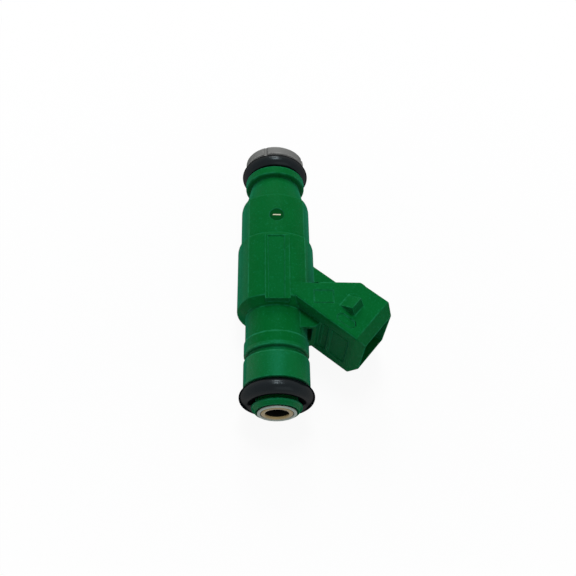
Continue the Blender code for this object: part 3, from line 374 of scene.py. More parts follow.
# %% The set of finishes
GREEN_TINT = (0.08, 1.0, 0.90)
FINISHES = {
    # The green plastic's speck colour is a painted glint, and its edge colour a painted highlight with
    # some rubbing.
    "green_plastic": grained(
        "green_plastic", dark=(0.0003, 0.086, 0.0105), light=(0.0008, 0.114, 0.0180),
        rough=(0.36, 0.50), bump=(0.60, 0.00010), dust=0.50, speck=(0.008, 0.185, 0.070),
        edge=((0.010, 0.170, 0.065), 0.75), gloss=0.03, barrel_gloss=0.18, tint=GREEN_TINT,
        sheen=0.14),
    "grey_plastic": grained(
        "grey_plastic", dark=(0.130, 0.132, 0.126), light=(0.185, 0.185, 0.178),
        rough=(0.55, 0.75), bump=(0.25, 0.00004), dust=0.15, edge=((0.30, 0.30, 0.29), 0.7),
        gloss=0.20),
    "black_rubber": grained(
        "black_rubber", dark=(0.0016, 0.0024, 0.0032), light=(0.0036, 0.0048, 0.0060),
        rough=(0.19, 0.30), bump=(0.10, 0.00003), dust=0.01, gloss=0.18, tint=(0.76, 0.93, 1.0)),
    "natural_plastic": grained(
        "natural_plastic", dark=(0.50, 0.44, 0.32), light=(0.60, 0.54, 0.42),
        rough=(0.42, 0.60), bump=(0.12, 0.00003)),
    # deep_green colours the disc of painted shade in the round recess.
    "deep_green": grained(
        "deep_green", dark=(0.0006, 0.050, 0.007), light=(0.0010, 0.064, 0.010),
        rough=(0.55, 0.70), bump=(0.12, 0.00003), gloss=0.02, tint=GREEN_TINT),
    # dark_plastic also colours the sleeve of painted shade in the collar's bore.
    "dark_plastic": grained(
        "dark_plastic", dark=(0.0022, 0.0020, 0.0016), light=(0.0040, 0.0036, 0.0030),
        rough=(0.60, 0.80), bump=(0.12, 0.00003), gloss=0.05),
    "mark_paint": grained(
        "mark_paint", dark=(0.50, 0.50, 0.34), light=(0.66, 0.66, 0.48),
        rough=(0.60, 0.80), bump=(0.10, 0.00002), gloss=0.2),
    "steel": turned_metal(
        "steel", dark=(0.48, 0.49, 0.50), light=(0.62, 0.63, 0.64),
        rough=(0.20, 0.38), bump=(0.15, 0.00002)),
    "dull_steel": turned_metal(
        "dull_steel", dark=(0.16, 0.19, 0.17), light=(0.30, 0.34, 0.31),
        rough=(0.34, 0.52), bump=(0.30, 0.00002)),
    "magnet_steel": turned_metal(
        "magnet_steel", dark=(0.28, 0.29, 0.30), light=(0.42, 0.43, 0.44),
        rough=(0.30, 0.50), bump=(0.18, 0.00002)),
    "brass": turned_metal(
        "brass", dark=(0.17, 0.130, 0.062), light=(0.28, 0.215, 0.105),
        rough=(0.28, 0.46), bump=(0.18, 0.00002)),
    "tinned_brass": grained(
        "tinned_brass", dark=(0.44, 0.43, 0.39), light=(0.54, 0.53, 0.48),
        rough=(0.34, 0.48), bump=(0.06, 0.00002), metallic=1.0),
    "copper": turned_metal(
        "copper", dark=(0.55, 0.20, 0.08), light=(0.72, 0.32, 0.16),
        rough=(0.16, 0.30), bump=(0.06, 0.00002)),
    "filter_gauze": grained(
        "filter_gauze", dark=(0.36, 0.34, 0.28), light=(0.48, 0.46, 0.40),
        rough=(0.50, 0.70), bump=(0.10, 0.00002)),
}
print("finishes:", ", ".join(FINISHES))

# %% [markdown]
# ## Solids that keep their shape
#
# The photograph shows one thing that the housing's solid rounds off: the main body's front shoulder is
# a straight, steep slope. The copy's shoulder is therefore drawn in to a cone that starts at the
# throat. It lies inside the solid's rounded shoulder everywhere.

# %% A straight front shoulder
THROAT_RADIUS = 6.2
BODY_RADIUS = 7.95
SHOULDER_FOOT = 6.7         # where the solid's rounded shoulder leaves its front face
SHOULDER_SPAN = (20.2, 21.6)
SECTION_SPREAD = (0.97, 1.08)   # a point on the ridged section lies between these shares of its radius
GUSSET_CORNER = (3.5, 4.6)      # points beyond this x and under this height belong to the gusset
AT_THE_FOOT = 0.001             # a point this close to the span's start lies on the front face
WELD_DISTANCE = 2e-6


def straighten_shoulder(bm):
    """Moves the points of the rounded front shoulder inwards onto a straight slope."""
    start, end = SHOULDER_SPAN
    moved = 0
    for vertex in bm.verts:
        place = TO_INJECTOR @ vertex.co
        run = (place.y - start) / (end - start)
        across = math.hypot(place.x, place.z)
        on_gusset = place.x > GUSSET_CORNER[0] and abs(place.z) < GUSSET_CORNER[1]
        in_span = -AT_THE_FOOT < run < 1 - AT_THE_FOOT
        if not in_span or across < THROAT_RADIUS or on_gusset:
            continue
        run = max(run, 0.0)
        rounded = SHOULDER_FOOT + (BODY_RADIUS - SHOULDER_FOOT) * math.sqrt(1 - (1 - run) ** 2)
        straight = THROAT_RADIUS + (BODY_RADIUS - THROAT_RADIUS) * run
        share = across / rounded
        if run < AT_THE_FOOT and share < SECTION_SPREAD[1]:
            share = 1.0
        if SECTION_SPREAD[0] < share < SECTION_SPREAD[1]:
            drawn_in = straight * share / across
            vertex.co = TO_WORLD @ Vector((place.x * drawn_in, place.y, place.z * drawn_in))
            moved += 1
    bmesh.ops.remove_doubles(bm, verts=bm.verts, dist=WELD_DISTANCE)
    return moved


# %% [markdown]
# A solid arrives as loose triangles, so it can't be shaded smoothly. A copy of it is merged, its flat
# faces are joined again, and normals are split only at edges sharper than a set angle. The facets of
# the turned surfaces then disappear while real corners stay crisp.

# %% A merged, smooth copy of a solid
SMOOTH_ANGLE = math.radians(32)
STRIP_ANGLE = math.radians(50)  # the faces of a rounded strip meet at less than this
FLAT_ANGLE = math.radians(0.3)


def merged_mesh(node):
    """A copy of a solid as one connected mesh, with its flat faces joined."""
    bm = bmesh.new()
    bm.from_mesh(frame["nodes"][node].data)
    bmesh.ops.remove_doubles(bm, verts=bm.verts, dist=WELD_DISTANCE)
    if node == "housing":
        print("shoulder points moved:", straighten_shoulder(bm))
    bmesh.ops.dissolve_limit(bm, angle_limit=FLAT_ANGLE, verts=bm.verts, edges=bm.edges)
    return bm


def shade_by_angle(bm, angle=SMOOTH_ANGLE):
    """Smooths the shading everywhere except across edges sharper than the angle."""
    for face in bm.faces:
        face.smooth = True
    for edge in bm.edges:
        edge.smooth = len(edge.link_faces) == 2 and edge.calc_face_angle(0.0) < angle


# %% [markdown]
# No real edge is perfectly sharp. Where two faces meet at a real corner, the edge is replaced by a
# narrow rounded strip, which catches a line of light, and the finishes also paint a paler highlight on
# it. The body's four long ridges are too blunt to be found by their angle, so they are found by their
# place instead. Very short edges, left where shapes were joined, are skipped, because a strip along
# them would fold over, and so is the foot of the low label pad.

# %% Round the real corners
RIDGE_X = 5.75
RIDGE_MARGIN = 0.03
RIDGE_SPAN = (21.5, 46.5)
LABEL_SIDE = 3.5        # the label pad lies within this x, before the next y and above the height
LABEL_END = 39.0
LABEL_FOOT = 6.8
SPIKE_SHARE = 0.45      # a rounded point leaves the sharp surface by less than this share of the width


def is_ridge(edge):
    """Tells whether an edge lies on one of the body's four long ridges."""
    ends = [TO_INJECTOR @ v.co for v in edge.verts]
    start, end = RIDGE_SPAN
    return all(abs(abs(p.x) - RIDGE_X) < RIDGE_MARGIN and start < p.y < end for p in ends)


def at_label_foot(edge):
    """The label pad is too low for a strip at its foot as well as one along its top."""
    ends = [TO_INJECTOR @ v.co for v in edge.verts]
    return not edge.is_convex and all(
        abs(p.x) < LABEL_SIDE and p.y < LABEL_END and p.z > LABEL_FOOT for p in ends)


def round_corners(bm, width, corner_angle=SMOOTH_ANGLE, shortest=0.25, segments=2):
    """Rounds real corners by width in mm and marks the strips with the rounded_edge attribute.

    Where edges meet at a thin wedge a strip can overshoot. Such a point goes back onto the surface.
    """
    corners = [e for e in bm.edges if len(e.link_faces) == 2 and e.calc_length() > shortest * MM
               and (e.calc_face_angle(0.0) > corner_angle or is_ridge(e)) and not at_label_foot(e)]
    sharp_form = BVHTree.FromBMesh(bm)
    made = bmesh.ops.bevel(bm, geom=corners, offset=width * MM, segments=segments, profile=0.5,
                           affect="EDGES", clamp_overlap=False)
    for vertex in bm.verts:
        nearest, _, _, distance = sharp_form.find_nearest(vertex.co)
        if distance > SPIKE_SHARE * width * MM:
            vertex.co = nearest
    # This attribute places the painted edge highlight in the finishes.
    strip = bm.loops.layers.float.new("rounded_edge")
    for face in made["faces"]:
        for loop in face.loops:
            loop[strip] = 1.0
    return len(corners)


def settle_normals(mesh):
    """Lets the large faces set the normals, so that they stay flat beside the rounded strips."""
    holder = bpy.data.objects.new("normals_maker", mesh)
    bpy.context.scene.collection.objects.link(holder)
    modifier = holder.modifiers.new("normals", "WEIGHTED_NORMAL")
    modifier.keep_sharp = True
    bpy.context.view_layer.update()
    settled = bpy.data.meshes.new_from_object(
        holder.evaluated_get(bpy.context.evaluated_depsgraph_get()))
    bpy.data.objects.remove(holder, do_unlink=True)
    return settled


SLOT_OF = {entry["node"]: entry["material_slot"] for entry in frame["record"]["subparts"]}


def finished_piece(name, bm, finish, node):
    """Makes a mesh object from bm, gives it its finish, and lets it stand for a solid."""
    mesh = bpy.data.meshes.new(name)
    bm.to_mesh(mesh)
    bm.free()
    mesh.materials.clear()
    mesh.materials.append(FINISHES[finish])
    mesh = settle_normals(mesh)
    mesh.name = name
    piece = bpy.data.objects.new(name, mesh)
    bpy.context.scene.collection.objects.link(piece)
    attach(piece, body_holding(node))
    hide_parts(node)
    return piece


def dress(node, finish, width):
    """Makes the visible copy of a solid, with corners rounded by width in mm."""
    bm = merged_mesh(node)
    rounded = round_corners(bm, width)
    shade_by_angle(bm, STRIP_ANGLE)
    piece = finished_piece("dressed_" + node, bm, finish, node)
    print(f"{piece.name}: {len(piece.data.polygons)} faces, {rounded} corners rounded")
    return piece


# %% [markdown]
# Most pieces keep their solid's shape and only need this treatment, and the record already says what
# each is made of. The others have steps of their own further down: the spring, the seal rings, the
# inlet's tube and collar, the ball, the wire and the gauze.

# %% Dress the pieces that keep their shape
HAS_ITS_OWN_STEP = {"inlet_seal_ring", "nozzle_seal_ring", "valve_ball", "coil_winding",
                    "filter_mesh", "filter_collar", "inlet_tube", "return_spring"}
EDGE_WIDTH = {"housing": 0.16, "nozzle_cap": 0.14}
THIN_EDGE = 0.05
for node, slot in SLOT_OF.items():
    if node not in HAS_ITS_OWN_STEP:
        dress(node, slot, EDGE_WIDTH.get(node, THIN_EDGE))

# %% [markdown]
# The return spring is a solid that the valve's joint squeezes, so its own object has to stay. It
# only receives the steel finish.

# %% The spring keeps its own object
spring = frame["nodes"]["return_spring"]
spring.data.materials.clear()
spring.data.materials.append(FINISHES["steel"])
print("spring:", len(spring.data.polygons), "triangles")

# %% [markdown]
# ## Seal rings with Geometry Nodes
#
# A rubber ring is a circle swept along a circle, a shape that follows a rule, so a node tree makes
# it from three named sizes. The tool that moulds it leaves a faint flash line round its outside,
# which a second, very thin swept circle adds.

# %% A node tree for swept rings
WIRE_ANGLE = math.radians(60)   # sides of a swept wire are smoothed where they meet at less than this
SEAM_WELD = 1e-6


def tree_with_inputs(name, sizes):
    """An empty geometry node tree with one named number input for each size."""
    tree = bpy.data.node_groups.new(name, "GeometryNodeTree")
    tree.interface.new_socket("Geometry", in_out="OUTPUT", socket_type="NodeSocketGeometry")
    for label, default in sizes:
        socket = tree.interface.new_socket(label, in_out="INPUT", socket_type="NodeSocketFloat")
        socket.default_value = default
    return tree, tree.nodes.new("NodeGroupInput"), tree.nodes.new("NodeGroupOutput")


def finish_tree(tree, geometry, material, end):
    """Realises instances and sets the finish, then ends the tree."""
    real = add(tree, "GeometryNodeRealizeInstances")
    paint = add(tree, "GeometryNodeSetMaterial")
    paint.inputs["Material"].default_value = material
    tree.links.new(geometry, real.inputs["Geometry"])
    tree.links.new(real.outputs["Geometry"], paint.inputs["Geometry"])
    tree.links.new(paint.outputs["Geometry"], end.inputs["Geometry"])


def piece_from_tree(name, tree, sizes, finish, node, move):
    """Runs a tree with its sizes, turns the result into a plain mesh and puts it in place."""
    holder = bpy.data.objects.new(name + "_maker", bpy.data.meshes.new(name + "_maker"))
    bpy.context.scene.collection.objects.link(holder)
    modifier = holder.modifiers.new("maker", "NODES")
    modifier.node_group = tree
    named = {item.name: item.identifier for item in tree.interface.items_tree
             if item.in_out == "INPUT"}
    for label, value in sizes.items():
        modifier[named[label]] = value
    bpy.context.view_layer.update()
    made = holder.evaluated_get(bpy.context.evaluated_depsgraph_get())
    bm = bmesh.new()
    bm.from_mesh(bpy.data.meshes.new_from_object(made))
    bpy.data.objects.remove(holder, do_unlink=True)
    bmesh.ops.remove_doubles(bm, verts=bm.verts, dist=SEAM_WELD)
    bmesh.ops.transform(bm, matrix=TO_WORLD @ move, verts=bm.verts)
    bmesh.ops.recalc_face_normals(bm, faces=bm.faces)
    shade_by_angle(bm, WIRE_ANGLE)
    piece = finished_piece(name, bm, finish, node)
    print(f"{name}: {len(piece.data.polygons)} faces")
    return piece


# %% The ring tree
RING_STEPS = 160
SECTION_STEPS = 36
BEAD_SIDES = 6


def build_ring_tree():
    tree, start, end = tree_with_inputs(
        "Seal ring", [("Middle Radius", 5.8), ("Section Radius", 1.5), ("Flash Radius", 0.05)])
    circle = add(tree, "GeometryNodeCurvePrimitiveCircle", mode="RADIUS")
    circle.inputs["Resolution"].default_value = RING_STEPS
    section = add(tree, "GeometryNodeCurvePrimitiveCircle", mode="RADIUS")
    section.inputs["Resolution"].default_value = SECTION_STEPS
    sweep = add(tree, "GeometryNodeCurveToMesh")
    links = tree.links
    links.new(start.outputs["Middle Radius"], circle.inputs["Radius"])
    links.new(start.outputs["Section Radius"], section.inputs["Radius"])
    links.new(circle.outputs["Curve"], sweep.inputs["Curve"])
    links.new(section.outputs["Curve"], sweep.inputs["Profile Curve"])
    outside = add(tree, "ShaderNodeMath", operation="ADD")
    links.new(start.outputs["Middle Radius"], outside.inputs[0])
    links.new(start.outputs["Section Radius"], outside.inputs[1])
    sunk = add(tree, "ShaderNodeMath", operation="SUBTRACT")
    links.new(outside.outputs[0], sunk.inputs[0])
    links.new(start.outputs["Flash Radius"], sunk.inputs[1])
    seam = add(tree, "GeometryNodeCurvePrimitiveCircle", mode="RADIUS")
    seam.inputs["Resolution"].default_value = RING_STEPS
    links.new(sunk.outputs[0], seam.inputs["Radius"])
    bead = add(tree, "GeometryNodeCurvePrimitiveCircle", mode="RADIUS")
    bead.inputs["Resolution"].default_value = BEAD_SIDES
    links.new(start.outputs["Flash Radius"], bead.inputs["Radius"])
    flash = add(tree, "GeometryNodeCurveToMesh")
    links.new(seam.outputs["Curve"], flash.inputs["Curve"])
    links.new(bead.outputs["Curve"], flash.inputs["Profile Curve"])
    both = add(tree, "GeometryNodeJoinGeometry")
    links.new(flash.outputs["Mesh"], both.inputs["Geometry"])
    links.new(sweep.outputs["Mesh"], both.inputs["Geometry"])
    finish_tree(tree, both.outputs["Geometry"], FINISHES["black_rubber"], end)
    return tree


RING_TREE = build_ring_tree()
print("tree:", RING_TREE.name)

# %% Two rings, each in the middle of its groove
RING_OUTSIDE = 7.29
RING_INSIDE = 4.3
FLASH_RADIUS = 0.04
RING_STATIONS = {"inlet_seal_ring": 3.24, "nozzle_seal_ring": 56.8}
RING_SIZES = {"Middle Radius": (RING_OUTSIDE + RING_INSIDE) / 2,
              "Section Radius": (RING_OUTSIDE - RING_INSIDE) / 2, "Flash Radius": FLASH_RADIUS}
UPRIGHT_TO_AXIS = Matrix.Rotation(math.pi / 2, 4, "X")
for node, station in RING_STATIONS.items():
    piece_from_tree("rubber_" + node, RING_TREE, RING_SIZES, "black_rubber", node,
                    Matrix.Translation((0, station, 0)) @ UPRIGHT_TO_AXIS)

# %% [markdown]
# ## The inlet's steel tube and brass collar
#
# Both are turned parts, so each is a profile of (y, radius) swept round the axis. The tube's mouth is
# turned over into a lip, and its inside edge is eased so that the collar's brass flange nearly fills
# it. A profile with short slopes at its corners already has its rounded edges.

# %% Sweep a profile round the axis
def turned_bmesh(profile, steps=144):
    """A closed profile of (y, radius) in mm, swept into a ring in the world's frame."""
    bm = bmesh.new()
    rings = []
    for i in range(steps):
        angle = math.tau * i / steps
        rings.append([bm.verts.new((r * math.cos(angle), y, r * math.sin(angle)))
                      for y, r in profile])
    for one, two in zip(rings, rings[1:] + rings[:1]):
        for j in range(len(profile)):
            k = (j + 1) % len(profile)
            bm.faces.new((one[j], one[k], two[k], two[j]))
    bmesh.ops.recalc_face_normals(bm, faces=bm.faces)
    bmesh.ops.transform(bm, matrix=TO_WORLD, verts=bm.verts)
    return bm


EASE_SHARE = 0.4    # a slope takes no more than this share of the side that it starts from


def eased(corners, ease):
    """The same closed profile with each corner cut back by a short slope."""
    points = []
    count = len(corners)
    for i, corner in enumerate(corners):
        here = Vector(corner)
        for other in (Vector(corners[i - 1]), Vector(corners[(i + 1) % count])):
            away = other - here
            points.append(tuple(here + away.normalized() * min(ease, away.length * EASE_SHARE)))
    return points


# %% Tube and collar
LIP_RADIUS = 3.76
LIP_THICKNESS = 0.45
TUBE_RADIUS = 3.3
TUBE_BORE = 2.9
TUBE_LENGTH = 12.4
MOUTH_BORE = 3.2
MOUTH_DEPTH = 0.3
LIP_EASE = 0.06
tube_profile = [(0, LIP_RADIUS), (LIP_THICKNESS, LIP_RADIUS), (LIP_THICKNESS, TUBE_RADIUS),
                (TUBE_LENGTH, TUBE_RADIUS), (TUBE_LENGTH, TUBE_BORE), (MOUTH_DEPTH, TUBE_BORE),
                (MOUTH_DEPTH, MOUTH_BORE), (0, MOUTH_BORE)]
bm = turned_bmesh(eased(tube_profile, LIP_EASE))
shade_by_angle(bm, STRIP_ANGLE)
finished_piece("inlet_lip_and_tube", bm, "dull_steel", "inlet_tube")

FLANGE_RADIUS = 3.08
FLANGE_SPAN = (0.04, 0.24)
COLLAR_RADIUS = 2.6
COLLAR_BORE = 2.3
COLLAR_END = 3.1
THIN_EASE = 0.05
flange_start, flange_end = FLANGE_SPAN
collar_profile = [(flange_start, FLANGE_RADIUS), (flange_end, FLANGE_RADIUS),
                  (flange_end, COLLAR_RADIUS), (COLLAR_END, COLLAR_RADIUS),
                  (COLLAR_END, COLLAR_BORE), (flange_start, COLLAR_BORE)]
bm = turned_bmesh(eased(collar_profile, THIN_EASE))
shade_by_angle(bm, STRIP_ANGLE)
finished_piece("brass_collar", bm, "brass", "filter_collar")
print("tube and collar turned")

# %% [markdown]
# The photograph shows the collar's hole as black, where shade falls in the bore. A thin dark sleeve
# inside the brass, in the dark plastic finish, is painted shade there.

# %% Painted shade: a dark sleeve in the collar's bore
def extra_piece(name, bm, finish, body):
    """A piece that stands for no solid of its own, and only rides on a body."""
    mesh = bpy.data.meshes.new(name)
    bm.to_mesh(mesh)
    bm.free()
    mesh.materials.append(FINISHES[finish])
    piece = bpy.data.objects.new(name, mesh)
    bpy.context.scene.collection.objects.link(piece)
    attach(piece, body)
    return piece


SHADE_SLEEVE_START = 0.35
SHADE_SLEEVE_WALL = 0.25
SHADE_SLEEVE_GAP = 0.02
SHADE_SLEEVE_STEPS = 96
shade_sleeve_outside = COLLAR_BORE - SHADE_SLEEVE_GAP
shade_sleeve_profile = [(SHADE_SLEEVE_START, shade_sleeve_outside), (COLLAR_END, shade_sleeve_outside),
                  (COLLAR_END, shade_sleeve_outside - SHADE_SLEEVE_WALL),
                  (SHADE_SLEEVE_START, shade_sleeve_outside - SHADE_SLEEVE_WALL)]
bm = turned_bmesh(eased(shade_sleeve_profile, THIN_EASE), SHADE_SLEEVE_STEPS)
shade_by_angle(bm, STRIP_ANGLE)
# A sleeve of painted shade in the collar's bore.
extra_piece("bore_shade_sleeve", bm, "dark_plastic", "injector_body")
print("lining added")

# %% [markdown]
# ## The valve ball
#
# The solid's ball has few facets. A finer sphere of the same size and centre stands for it, and rides
# on the valve needle, so it lifts off its seat with it.

# %% A fine ball where the solid is
low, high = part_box("valve_ball")
centre = (Vector(low) + Vector(high)) / 2
ball_radius = max(high[i] - low[i] for i in range(3)) / 2
bm = bmesh.new()
bmesh.ops.create_uvsphere(bm, u_segments=64, v_segments=32, radius=ball_radius,
                          matrix=Matrix.Translation(centre))
shade_by_angle(bm)
finished_piece("polished_ball", bm, "steel", "valve_ball")
print("ball radius", round(ball_radius / MM, 3), "mm")

# %% [markdown]
# ## The coil's wire with Geometry Nodes
#
# Enamelled wire lies on the bobbin turn beside turn. The outermost layer is one long helix, so a
# spiral curve with a round profile makes it, and a plain sleeve under it stands for the layers that
# never show. Turns, radius, length and wire size are named inputs.

# %% The winding tree
STEPS_A_TURN = 40
WIRE_SIDES = 8


def build_winding_tree():
    tree, start, end = tree_with_inputs(
        "Wire winding", [("Turns", 20.0), ("Radius", 5.5), ("Length", 7.5), ("Wire Radius", 0.15)])
    links = tree.links
    helix = add(tree, "GeometryNodeCurveSpiral")
    helix.inputs["Resolution"].default_value = STEPS_A_TURN
    links.new(start.outputs["Turns"], helix.inputs["Rotations"])
    links.new(start.outputs["Radius"], helix.inputs["Start Radius"])
    links.new(start.outputs["Radius"], helix.inputs["End Radius"])
    links.new(start.outputs["Length"], helix.inputs["Height"])
    profile = add(tree, "GeometryNodeCurvePrimitiveCircle", mode="RADIUS")
    profile.inputs["Resolution"].default_value = WIRE_SIDES
    links.new(start.outputs["Wire Radius"], profile.inputs["Radius"])
    wire = add(tree, "GeometryNodeCurveToMesh")
    wire.inputs["Fill Caps"].default_value = True
    links.new(helix.outputs["Curve"], wire.inputs["Curve"])
    links.new(profile.outputs["Curve"], wire.inputs["Profile Curve"])
    finish_tree(tree, wire.outputs["Mesh"], FINISHES["copper"], end)
    return tree


# %% Wind the wire between the bobbin's flanges
low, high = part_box("coil_winding")
middle_y = (TO_INJECTOR @ ((Vector(low) + Vector(high)) / 2)).y
winding_length = (high[1] - low[1]) / MM
winding_radius = (high[0] - low[0]) / MM / 2
WIRE_RADIUS = 0.15
WIRE_PITCH = 2.1 * WIRE_RADIUS
WIRE_CLEARANCE = 0.02
LAYERS_BORE = 5.0
LAYERS_STEPS = 64
ALONG_AXIS = Matrix.Rotation(-math.pi / 2, 4, "X")
wound_length = winding_length - 2 * WIRE_RADIUS
winding_sizes = {"Turns": math.floor(wound_length / WIRE_PITCH),
                 "Radius": winding_radius - WIRE_RADIUS - WIRE_CLEARANCE,
                 "Length": wound_length, "Wire Radius": WIRE_RADIUS}
winding_start = middle_y - winding_length / 2 + WIRE_RADIUS
piece_from_tree("copper_winding", build_winding_tree(), winding_sizes, "copper", "coil_winding",
                Matrix.Translation((0, winding_start, 0)) @ ALONG_AXIS)
winding_end = winding_start + wound_length
layers_radius = winding_radius - WIRE_PITCH
layers_profile = [(winding_start, layers_radius), (winding_end, layers_radius),
                  (winding_end, LAYERS_BORE), (winding_start, LAYERS_BORE)]
bm = turned_bmesh(eased(layers_profile, THIN_EASE), LAYERS_STEPS)
shade_by_angle(bm, STRIP_ANGLE)
extra_piece("inner_wire_layers", bm, "copper", "injector_body")

# %% [markdown]
# ## The filter's gauze with Geometry Nodes
#
# The gauze is a woven tube: fine rings along the axis crossed by straight wires round it. Both
# families repeat, so each is one small wire instanced on points, one set spread along a line and the
# other round a circle.

# %% The gauze tree
GAUZE_WIRE_SIDES = 4
HOOP_STEPS = 40


def wire_profile(tree, radius):
    """The section of a gauze wire, with few sides because there are many wires."""
    profile = add(tree, "GeometryNodeCurvePrimitiveCircle", mode="RADIUS")
    profile.inputs["Resolution"].default_value = GAUZE_WIRE_SIDES
    tree.links.new(radius, profile.inputs["Radius"])
    return profile.outputs["Curve"]


def build_gauze_tree(rings, bars):
    tree, start, end = tree_with_inputs(
        "Woven gauze", [("Radius", 1.2), ("Length", 6.0), ("Wire Radius", 0.03)])
    links = tree.links
    profile = wire_profile(tree, start.outputs["Wire Radius"])
    hoop = add(tree, "GeometryNodeCurvePrimitiveCircle", mode="RADIUS")
    hoop.inputs["Resolution"].default_value = HOOP_STEPS
    links.new(start.outputs["Radius"], hoop.inputs["Radius"])
    hoop_wire = add(tree, "GeometryNodeCurveToMesh")
    links.new(hoop.outputs["Curve"], hoop_wire.inputs["Curve"])
    links.new(profile, hoop_wire.inputs["Profile Curve"])
    top = add(tree, "ShaderNodeCombineXYZ")
    links.new(start.outputs["Length"], top.inputs["Z"])
    spread = add(tree, "GeometryNodeMeshLine", mode="END_POINTS")
    spread.inputs["Count"].default_value = rings
    links.new(top.outputs["Vector"], spread.inputs["Offset"])
    stack = add(tree, "GeometryNodeInstanceOnPoints")
    links.new(spread.outputs["Mesh"], stack.inputs["Points"])
    links.new(hoop_wire.outputs["Mesh"], stack.inputs["Instance"])
    bar = add(tree, "GeometryNodeCurvePrimitiveLine")
    links.new(top.outputs["Vector"], bar.inputs["End"])
    bar_wire = add(tree, "GeometryNodeCurveToMesh")
    bar_wire.inputs["Fill Caps"].default_value = True
    links.new(bar.outputs["Curve"], bar_wire.inputs["Curve"])
    links.new(profile, bar_wire.inputs["Profile Curve"])
    circle = add(tree, "GeometryNodeMeshCircle")
    circle.inputs["Vertices"].default_value = bars
    links.new(start.outputs["Radius"], circle.inputs["Radius"])
    fence = add(tree, "GeometryNodeInstanceOnPoints")
    links.new(circle.outputs["Mesh"], fence.inputs["Points"])
    links.new(bar_wire.outputs["Mesh"], fence.inputs["Instance"])
    both = add(tree, "GeometryNodeJoinGeometry")
    links.new(stack.outputs["Instances"], both.inputs["Geometry"])
    links.new(fence.outputs["Instances"], both.inputs["Geometry"])
    finish_tree(tree, both.outputs["Geometry"], FINISHES["filter_gauze"], end)
    return tree


# %% Weave the gauze inside the filter's cage
low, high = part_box("filter_mesh")
gauze_middle = (TO_INJECTOR @ ((Vector(low) + Vector(high)) / 2)).y
gauze_length = (high[1] - low[1]) / MM
gauze_radius = (high[0] - low[0]) / MM / 2
GAUZE_WIRE = 0.03
GAUZE_RINGS = 32
GAUZE_BARS = 32
gauze_start = gauze_middle - gauze_length / 2 + GAUZE_WIRE
gauze_sizes = {"Radius": gauze_radius - 2 * GAUZE_WIRE, "Length": gauze_length - 2 * GAUZE_WIRE,
               "Wire Radius": GAUZE_WIRE}
piece_from_tree("filter_gauze_wires", build_gauze_tree(GAUZE_RINGS, GAUZE_BARS), gauze_sizes,
                "filter_gauze", "filter_mesh",
                Matrix.Translation((0, gauze_start, 0)) @ ALONG_AXIS)

# %% [markdown]
# ## The mark in the round recess
#
# The round recess on the upper section looks darker inside, with a plain pale bar on its floor. The
# dark disc on the floor is painted shade in the recess. One solid has one finish, so the disc and the
# bar are thin pieces of their own that lie in the recess.

# %% A disc of painted shade and a plain bar
RECESS_Y = 41.3
RECESS_FLOOR = 7.05
DISC_RADIUS = 1.44
DISC_BOTTOM = RECESS_FLOOR + 0.01
DISC_TOP = RECESS_FLOOR + 0.04
BAR_HALF_LENGTH = 0.82
BAR_HALF_WIDTH = 0.13
BAR_HALF_THICKNESS = 0.01


def disc_bmesh(radius, low, high, steps=64):
    """A disc on the recess's centre, between two heights above the injector's axis."""
    bm = bmesh.new()
    bmesh.ops.create_cone(bm, cap_ends=True, segments=steps, radius1=radius, radius2=radius,
                          depth=high - low,
                          matrix=Matrix.Translation((0, RECESS_Y, (low + high) / 2)))
    bmesh.ops.transform(bm, matrix=TO_WORLD, verts=bm.verts)
    return bm


# The dark disc is painted shade on the recess floor.
bm = disc_bmesh(DISC_RADIUS, DISC_BOTTOM, DISC_TOP)
extra_piece("recess_shade_disc", bm, "deep_green", "injector_body")
bar_place = Matrix.Translation((0, RECESS_Y, DISC_TOP + BAR_HALF_THICKNESS))
bar_size = Matrix.Diagonal((BAR_HALF_LENGTH, BAR_HALF_WIDTH, BAR_HALF_THICKNESS, 1.0))
bm = bmesh.new()
bmesh.ops.create_cube(bm, size=2.0, matrix=bar_place @ bar_size)
bmesh.ops.transform(bm, matrix=TO_WORLD, verts=bm.verts)
extra_piece("printed_bar", bm, "mark_paint", "injector_body")
print("mark placed at y =", RECESS_Y)

# %% [markdown]
# ## The stage and the camera
#
# The object lies on a white surface under soft light, photographed from above and in front of the
# inlet. The camera is placed by its position, its viewing direction and its upward direction.

# %% Camera
LENS = 45.06
SENSOR_WIDTH = 36.0
NEAR_LIMIT = 0.005
CAMERA_PLACE = Vector((-0.02628, -0.07986, 0.13482))
VIEW_DIRECTION = Vector((0.1425, 0.5149, -0.8452))
VIEW_UP = Vector((-0.0665, 0.857, 0.5109))
scene = bpy.context.scene
camera_data = bpy.data.cameras.new("camera")
camera_data.lens = LENS
camera_data.sensor_width = SENSOR_WIDTH
camera_data.clip_start = NEAR_LIMIT
camera = bpy.data.objects.new("camera", camera_data)
scene.collection.objects.link(camera)
forward = VIEW_DIRECTION.normalized()
right = forward.cross(VIEW_UP).normalized()
upward = right.cross(forward)
turn = Matrix((right, upward, -forward)).transposed().to_4x4()
camera.matrix_world = Matrix.Translation(CAMERA_PLACE) @ turn
scene.camera = camera
print("camera looks along", [round(v, 3) for v in forward])

# %% [markdown]
# The page behind the photographed part is pure white. More light would bleach the part as well, so the
# white is in the floor and the backdrop themselves, for rays that come from the camera or off a
# glossy surface. Near the part a little of the matt floor is mixed in, which keeps a faint shadow.

